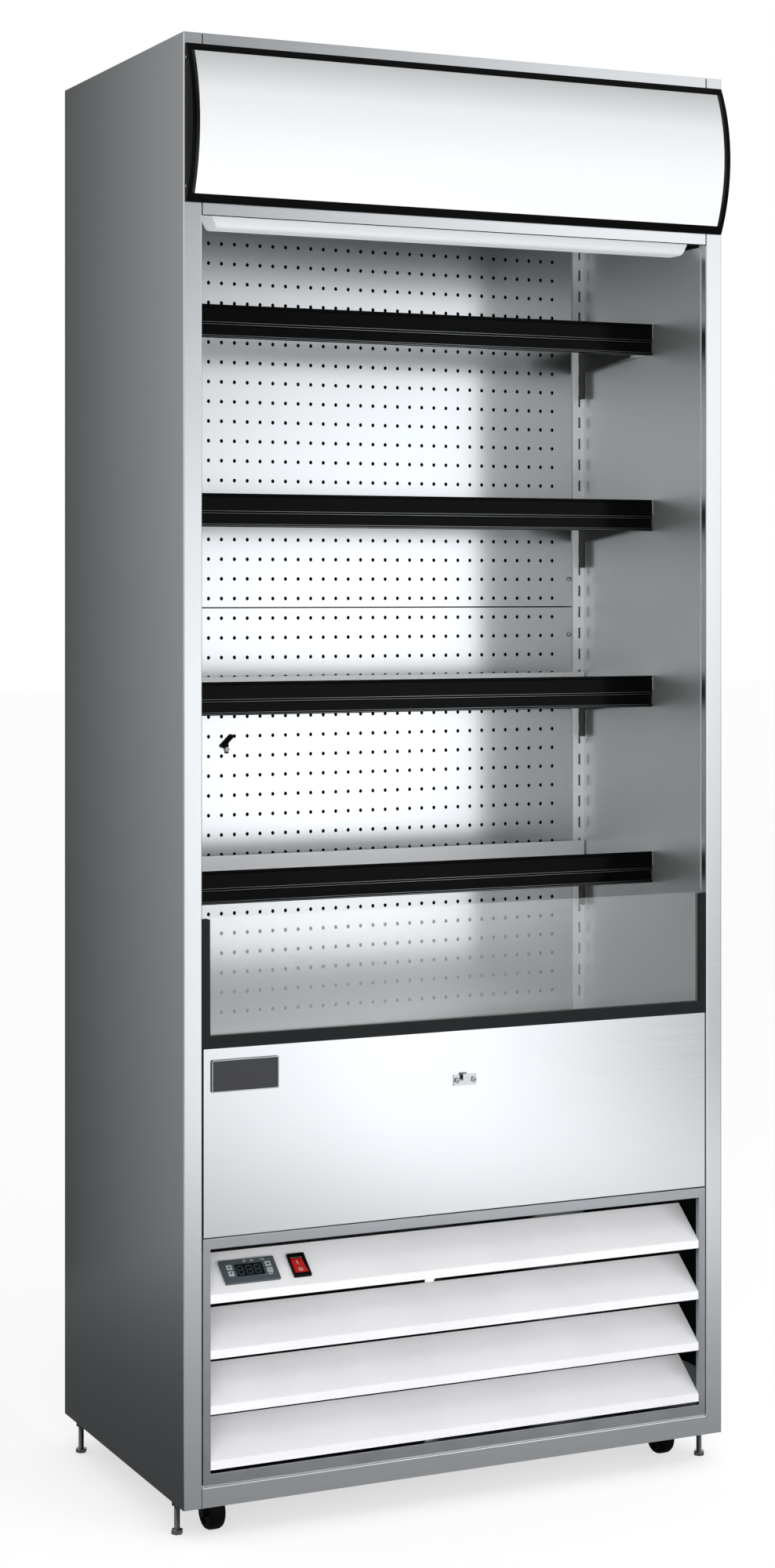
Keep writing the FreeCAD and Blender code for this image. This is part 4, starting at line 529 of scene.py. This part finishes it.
# Rounded edges
# Folded sheet and extrusions have no knife edges: each is eased by about half a millimetre, which catches
# a thin line of light. The CAD meshes are loose triangles, so they are welded first.
for name in (
    "price_rail_1", "price_rail_2", "price_rail_3", "price_rail_4", "glass_channel", "louvres",
    "grille_frame", "shelf_1", "shelf_2", "shelf_3", "shelf_4",
):
    joined = nodes[name].modifiers.new("joined", "WELD")
    joined.merge_threshold = 0.00002
    eased = nodes[name].modifiers.new("eased", "BEVEL")
    eased.width = 0.0005
    eased.segments = 2
    eased.limit_method = "ANGLE"
    eased.angle_limit = math.radians(50)
    eased.use_clamp_overlap = True

# Controller face
# Moulded face with a dark window, three unlit figures, two lamps and printed unit marks. It lies on the
# upper louvre: lean turns flat drawings, in metres from the louvre's foot, onto that slope.


def band(x, y, inner, outer, start, sweep, parts, stretch=1.0):
    """Outlines of the short four-sided parts that make up a ring or an arc about a point."""
    outlines = []
    for k in range(parts):
        a = start + sweep * k / parts
        b = start + sweep * (k + 1) / parts
        corners = ((inner, a), (outer, a), (outer, b), (inner, b))
        outlines.append([(x + r * math.cos(q), y + stretch * r * math.sin(q)) for r, q in corners])
    return outlines


def printed(name, dark, light, roughness, gloss, scale):
    """Printing ink or moulded plastic with a faint speckle between two colours."""
    ink, tree, shade = new_material(name)
    shade.inputs["Roughness"].default_value = roughness
    shade.inputs["Specular IOR Level"].default_value = gloss
    place = add(tree, "TexCoord", {})
    cloud = add(tree, "TexNoise", {"Vector": place.outputs["Object"], "Scale": scale})
    ramp = add(tree, "ValToRGB", {"Fac": cloud.outputs[0]})
    ramp.color_ramp.elements[0].color = dark
    ramp.color_ramp.elements[1].color = light
    tree.links.new(ramp.outputs[0], shade.inputs["Base Color"])
    return ink


louvre_rise = 46
louvre_run = 59
lean = Matrix.Translation((0, -0.23, 0.3258)) @ Matrix.Rotation(math.atan2(louvre_rise, louvre_run), 4, "X")
full_turn = 2 * math.pi
strokes = {"window": [], "figures": [], "lamps": [], "marks": []}
strokes["window"].append([(-0.3307, 0.0231), (-0.2909, 0.0231), (-0.2909, 0.0429), (-0.3307, 0.0429)])
figure_left = -0.3277
figure_low = 0.0262
figure_pitch = 0.0124
figure_width = 0.0076
bar_length = 0.0066
bar = 0.0011
for column in range(3):
    x = figure_left + column * figure_pitch
    end = x + figure_width
    for level in range(3):
        y = figure_low + level * bar_length
        strokes["figures"].append([
            (x + bar, y - bar / 2), (end - bar, y - bar / 2), (end - bar / 2, y),
            (end - bar, y + bar / 2), (x + bar, y + bar / 2), (x + bar / 2, y),
        ])
    for side in (x, end):
        for level in range(2):
            y = figure_low + level * bar_length
            top = y + bar_length
            strokes["figures"].append([
                (side, y + bar / 2), (side + bar / 2, y + bar), (side + bar / 2, top - bar),
                (side, top - bar / 2), (side - bar / 2, top - bar), (side - bar / 2, y + bar),
            ])
lamp_radius = 0.0020
lamp_angles = [full_turn * k / 20 for k in range(20)]
for x in (-0.3145, -0.3038):
    strokes["lamps"].append(
        [(x + lamp_radius * math.cos(a), 0.0472 + lamp_radius * math.sin(a)) for a in lamp_angles]
    )
strokes["marks"] += band(-0.2898, 0.0480, 0.0004, 0.0009, 0.0, full_turn, 12)
strokes["marks"] += band(-0.2866, 0.0473, 0.0010, 0.0016, 0.8, 4.7, 9, stretch=1.2)
for x, width in ((-0.2866, 0.0022), (-0.2836, 0.0028)):
    strokes["marks"].append([(x, 0.0212), (x + width, 0.0212), (x + width, 0.0224), (x, 0.0224)])
inks = {
    "window": ("#07090b", 0.35, 0.0034, 0.00385),
    "figures": ("#4d5c63", 0.3, 0.00385, 0.00395),
    "lamps": ("#9aa3a6", 0.3, 0.004, 0.0046),
    "marks": ("#dfe4e6", 0.5, 0.004, 0.0041),
}
for name, (colour, roughness, low, high) in inks.items():
    shape = bmesh.new()
    for outline in strokes[name]:
        face = shape.faces.new([shape.verts.new((x, y, low)) for x, y in outline])
        thicken(shape, [face], (0, 0, high - low))
    bmesh.ops.recalc_face_normals(shape, faces=shape.faces)
    shape.transform(lean)
    ink = printed("controller_" + name, tint(colour, 0.85), linear(colour), roughness, 0.15, 400.0)
    face = finished("controller_" + name, shape, ink)
    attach(face, "cabinet")

# Key marks
# Up and down arrows on the left keys, a wedge and a bar on the right ones: dark ink, printed 0.1 mm thick
# on the moulded keys, each moving with its key.
left_keys = -0.3390
right_keys = -0.2828
upper_keys = 0.0387
lower_keys = 0.0281
key_ink = printed("key_ink", linear("#14181a"), linear("#22282b"), 0.5, 0.5, 500.0)
for key, x, y, outline in (
    ("upper_left", left_keys, upper_keys, (
        (-0.0021, -0.0015), (0.0021, -0.0015), (0, 0.0019),
    )),
    ("lower_left", left_keys, lower_keys, (
        (-0.0021, 0.0017), (0, -0.0017), (0.0021, 0.0017),
    )),
    ("upper_right", right_keys, upper_keys, (
        (-0.0020, -0.0017), (0.0020, -0.0017), (0.0010, 0.0017), (-0.0010, 0.0017),
    )),
    ("lower_right", right_keys, lower_keys, (
        (-0.0022, -0.0005), (0.0022, -0.0005), (0.0022, 0.0005), (-0.0022, 0.0005),
    )),
):
    shape = bmesh.new()
    face = shape.faces.new([shape.verts.new((x + u, y + v, 0.0049)) for u, v in outline])
    thicken(shape, [face], (0, 0, 0.0001))
    bmesh.ops.recalc_face_normals(shape, faces=shape.faces)
    shape.transform(lean)
    mark = finished("key_mark_" + key, shape, key_ink)
    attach(mark, "button_" + key)

# Rocker marks
# A bar on the pressed upper half and a ring on the raised lower half, printed in white ink on the red
# moulded rocker. Each half falls away from the rocker's middle by its own slope.
rocker_x = -0.2385
rocker_y = 0.0323
rocker_crown = 0.0012
half_length = 13.8
upper_bar = [[(-0.0004, 0.0030), (0.0004, 0.0030), (0.0004, 0.0096), (-0.0004, 0.0096)]]
lower_ring = band(0, -0.0078, 0.0021, 0.0029, 0.0, full_turn, 28)
shape = bmesh.new()
for outlines, fall in ((upper_bar, 1.4), (lower_ring, 3.0)):
    slope = -fall / half_length
    for outline in outlines:
        points = [(rocker_x + x, rocker_y + y, rocker_crown + slope * y + 0.00002) for x, y in outline]
        face = shape.faces.new([shape.verts.new(point) for point in points])
        thicken(shape, [face], (0, 0, 0.00012))
bmesh.ops.recalc_face_normals(shape, faces=shape.faces)
shape.transform(lean)
rocker_ink = printed("rocker_ink", linear("#e4e0de"), linear("#f6f3f1"), 0.5, 0.5, 300.0)
marks = finished("rocker_marks", shape, rocker_ink)
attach(marks, "rocker")

# Night curtain roll
# Woven film wound on a tube with a pin at each end: the wound edge steps in small rings at both ends. The
# weave is drawn at about 1 mm, coarser than the thread, so that it shows.
low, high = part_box("curtain_roller")
axis_y, axis_z = (low.y + high.y) / 2, (low.z + high.z) / 2
tube_end = 0.3827
film_end = 0.3806
profile = [
    (high.x, 0.0), (high.x, 0.0046), (high.x - 0.0004, 0.005), (tube_end, 0.005), (tube_end, 0.0092),
    (0.3817, 0.0095),
]
for turn in range(9):
    radius = 0.0098 + turn * 0.00092
    edge = 0.3811 + 0.0003 * (turn % 2)
    profile += [(film_end, radius), (edge, radius + 0.0003), (film_end, radius + 0.0007)]
profile += [(0.3812, 0.0181), (film_end, 0.0184)]
outline = profile + [(-x, r) for x, r in reversed(profile)]
shape = bmesh.new()
spin_profile(shape, [(x, r, 0) for x, r in outline], (1, 0, 0), (0, 0, 0), 48)
shape.transform(Matrix.Translation((0, axis_y, axis_z)))
film, tree, shade = new_material("curtain_cloth")
shade.inputs["Roughness"].default_value = 0.4
place = add(tree, "TexCoord", {})
weave = add(tree, "TexChecker", {
    "Vector": place.outputs["Object"], "Scale": 900.0,
    "Color1": linear("#d4d8da"), "Color2": linear("#e2e5e6"),
})
tree.links.new(weave.outputs[0], shade.inputs["Base Color"])
bump = add(tree, "Bump", {"Height": weave.outputs[1], "Strength": 0.05, "Distance": 0.0002})
tree.links.new(bump.outputs[0], shade.inputs["Normal"])
roll = finished("curtain_roll", shape, film)
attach(roll, "curtain_roller")
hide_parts("curtain_roller")

# Night curtain sheet
# The free film that hangs from the roll to the pull bar, which holds its lower edge.
film_width = 0.761
low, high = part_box("curtain_bar")
sheet_y = (low.y + high.y) / 2
shape = bmesh.new()
bmesh.ops.create_grid(shape, x_segments=60, y_segments=40, size=0.5)
for point in shape.verts:
    along = point.co.y + 0.5
    point.co = (point.co.x * film_width, sheet_y, high.z + (axis_z - high.z) * (1 - along))
bmesh.ops.recalc_face_normals(shape, faces=shape.faces)
sheet = finished("curtain_sheet", shape, film)
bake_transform(sheet)

# Levelling feet
# Zinc-plated bolts, head down: rods with ridges at the pitch of the thread, on hexagon heads whose edges
# are chamfered. A hexagon is a full spin in six steps.
thread_root = 0.0036
thread_crest = 0.0041
thread_pitch = 0.00125
head_profile = [(0.0, 0.0), (0.0072, 0.0), (0.0082, 0.001), (0.0082, 0.0058), (0.0074, 0.0065), (0.0, 0.0065)]
for name in ("front_left", "front_right", "rear_left", "rear_right"):
    low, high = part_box("levelling_foot_" + name)
    x, y = (low.x + high.x) / 2, (low.y + high.y) / 2
    profile = [(0.0, 0.0064), (thread_root, 0.0064)]
    level = 0.0069
    while level < high.z - 0.0012:
        profile += [(thread_root, level), (thread_crest, level + 0.0005), (thread_root, level + 0.001)]
        level += thread_pitch
    profile += [(thread_root, high.z - 0.0004), (0.0030, high.z), (0.0, high.z)]
    shape = bmesh.new()
    for outline, steps in ((head_profile, 6), (profile, 20)):
        points = [(x + radius, y, z) for radius, z in outline]
        spin_profile(shape, points, (0, 0, 1), (x, y, 0), steps)
    foot = finished("foot_" + name, shape, bpy.data.materials["dark_zinc"])
    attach(foot, "levelling_foot_" + name)
    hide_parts("levelling_foot_" + name)

# Caster wheels
# Moulded plastic wheels: a crowned tread between two shoulders, a dished side and a boss round the axle.
# The tread is smooth, and the dish keeps its moulded edges.
for name in ("front_wheel_left", "front_wheel_right", "rear_wheel_left", "rear_wheel_right"):
    low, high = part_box(name)
    half = (high.x - low.x) / 2
    profile = [
        (0.00308, half), (0.0068, half), (0.0074, half - 0.0006), (0.0082, half - 0.0034),
        (0.0165, half - 0.0034), (0.0176, half - 0.0006), (0.0204, half - 0.0002), (0.0226, half - 0.0016),
        (0.0238, half - 0.0036), (0.0240, half - 0.0044), (0.0247, half - 0.0054), (0.0250, 0.0),
    ]
    outline = profile + [(r, -x) for r, x in reversed(profile[:-1])]
    shape = bmesh.new()
    spin_profile(shape, [(x, r, 0) for r, x in outline], (1, 0, 0), (0, 0, 0), 48, closed=True)
    for face in shape.faces:
        face.smooth = face.calc_center_median().yz.length > 0.018
    shape.transform(Matrix.Translation((low + high) / 2))
    wheel = finished(name + "_moulding", shape, bpy.data.materials["black_satin"])
    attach(wheel, name)
    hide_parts(name)
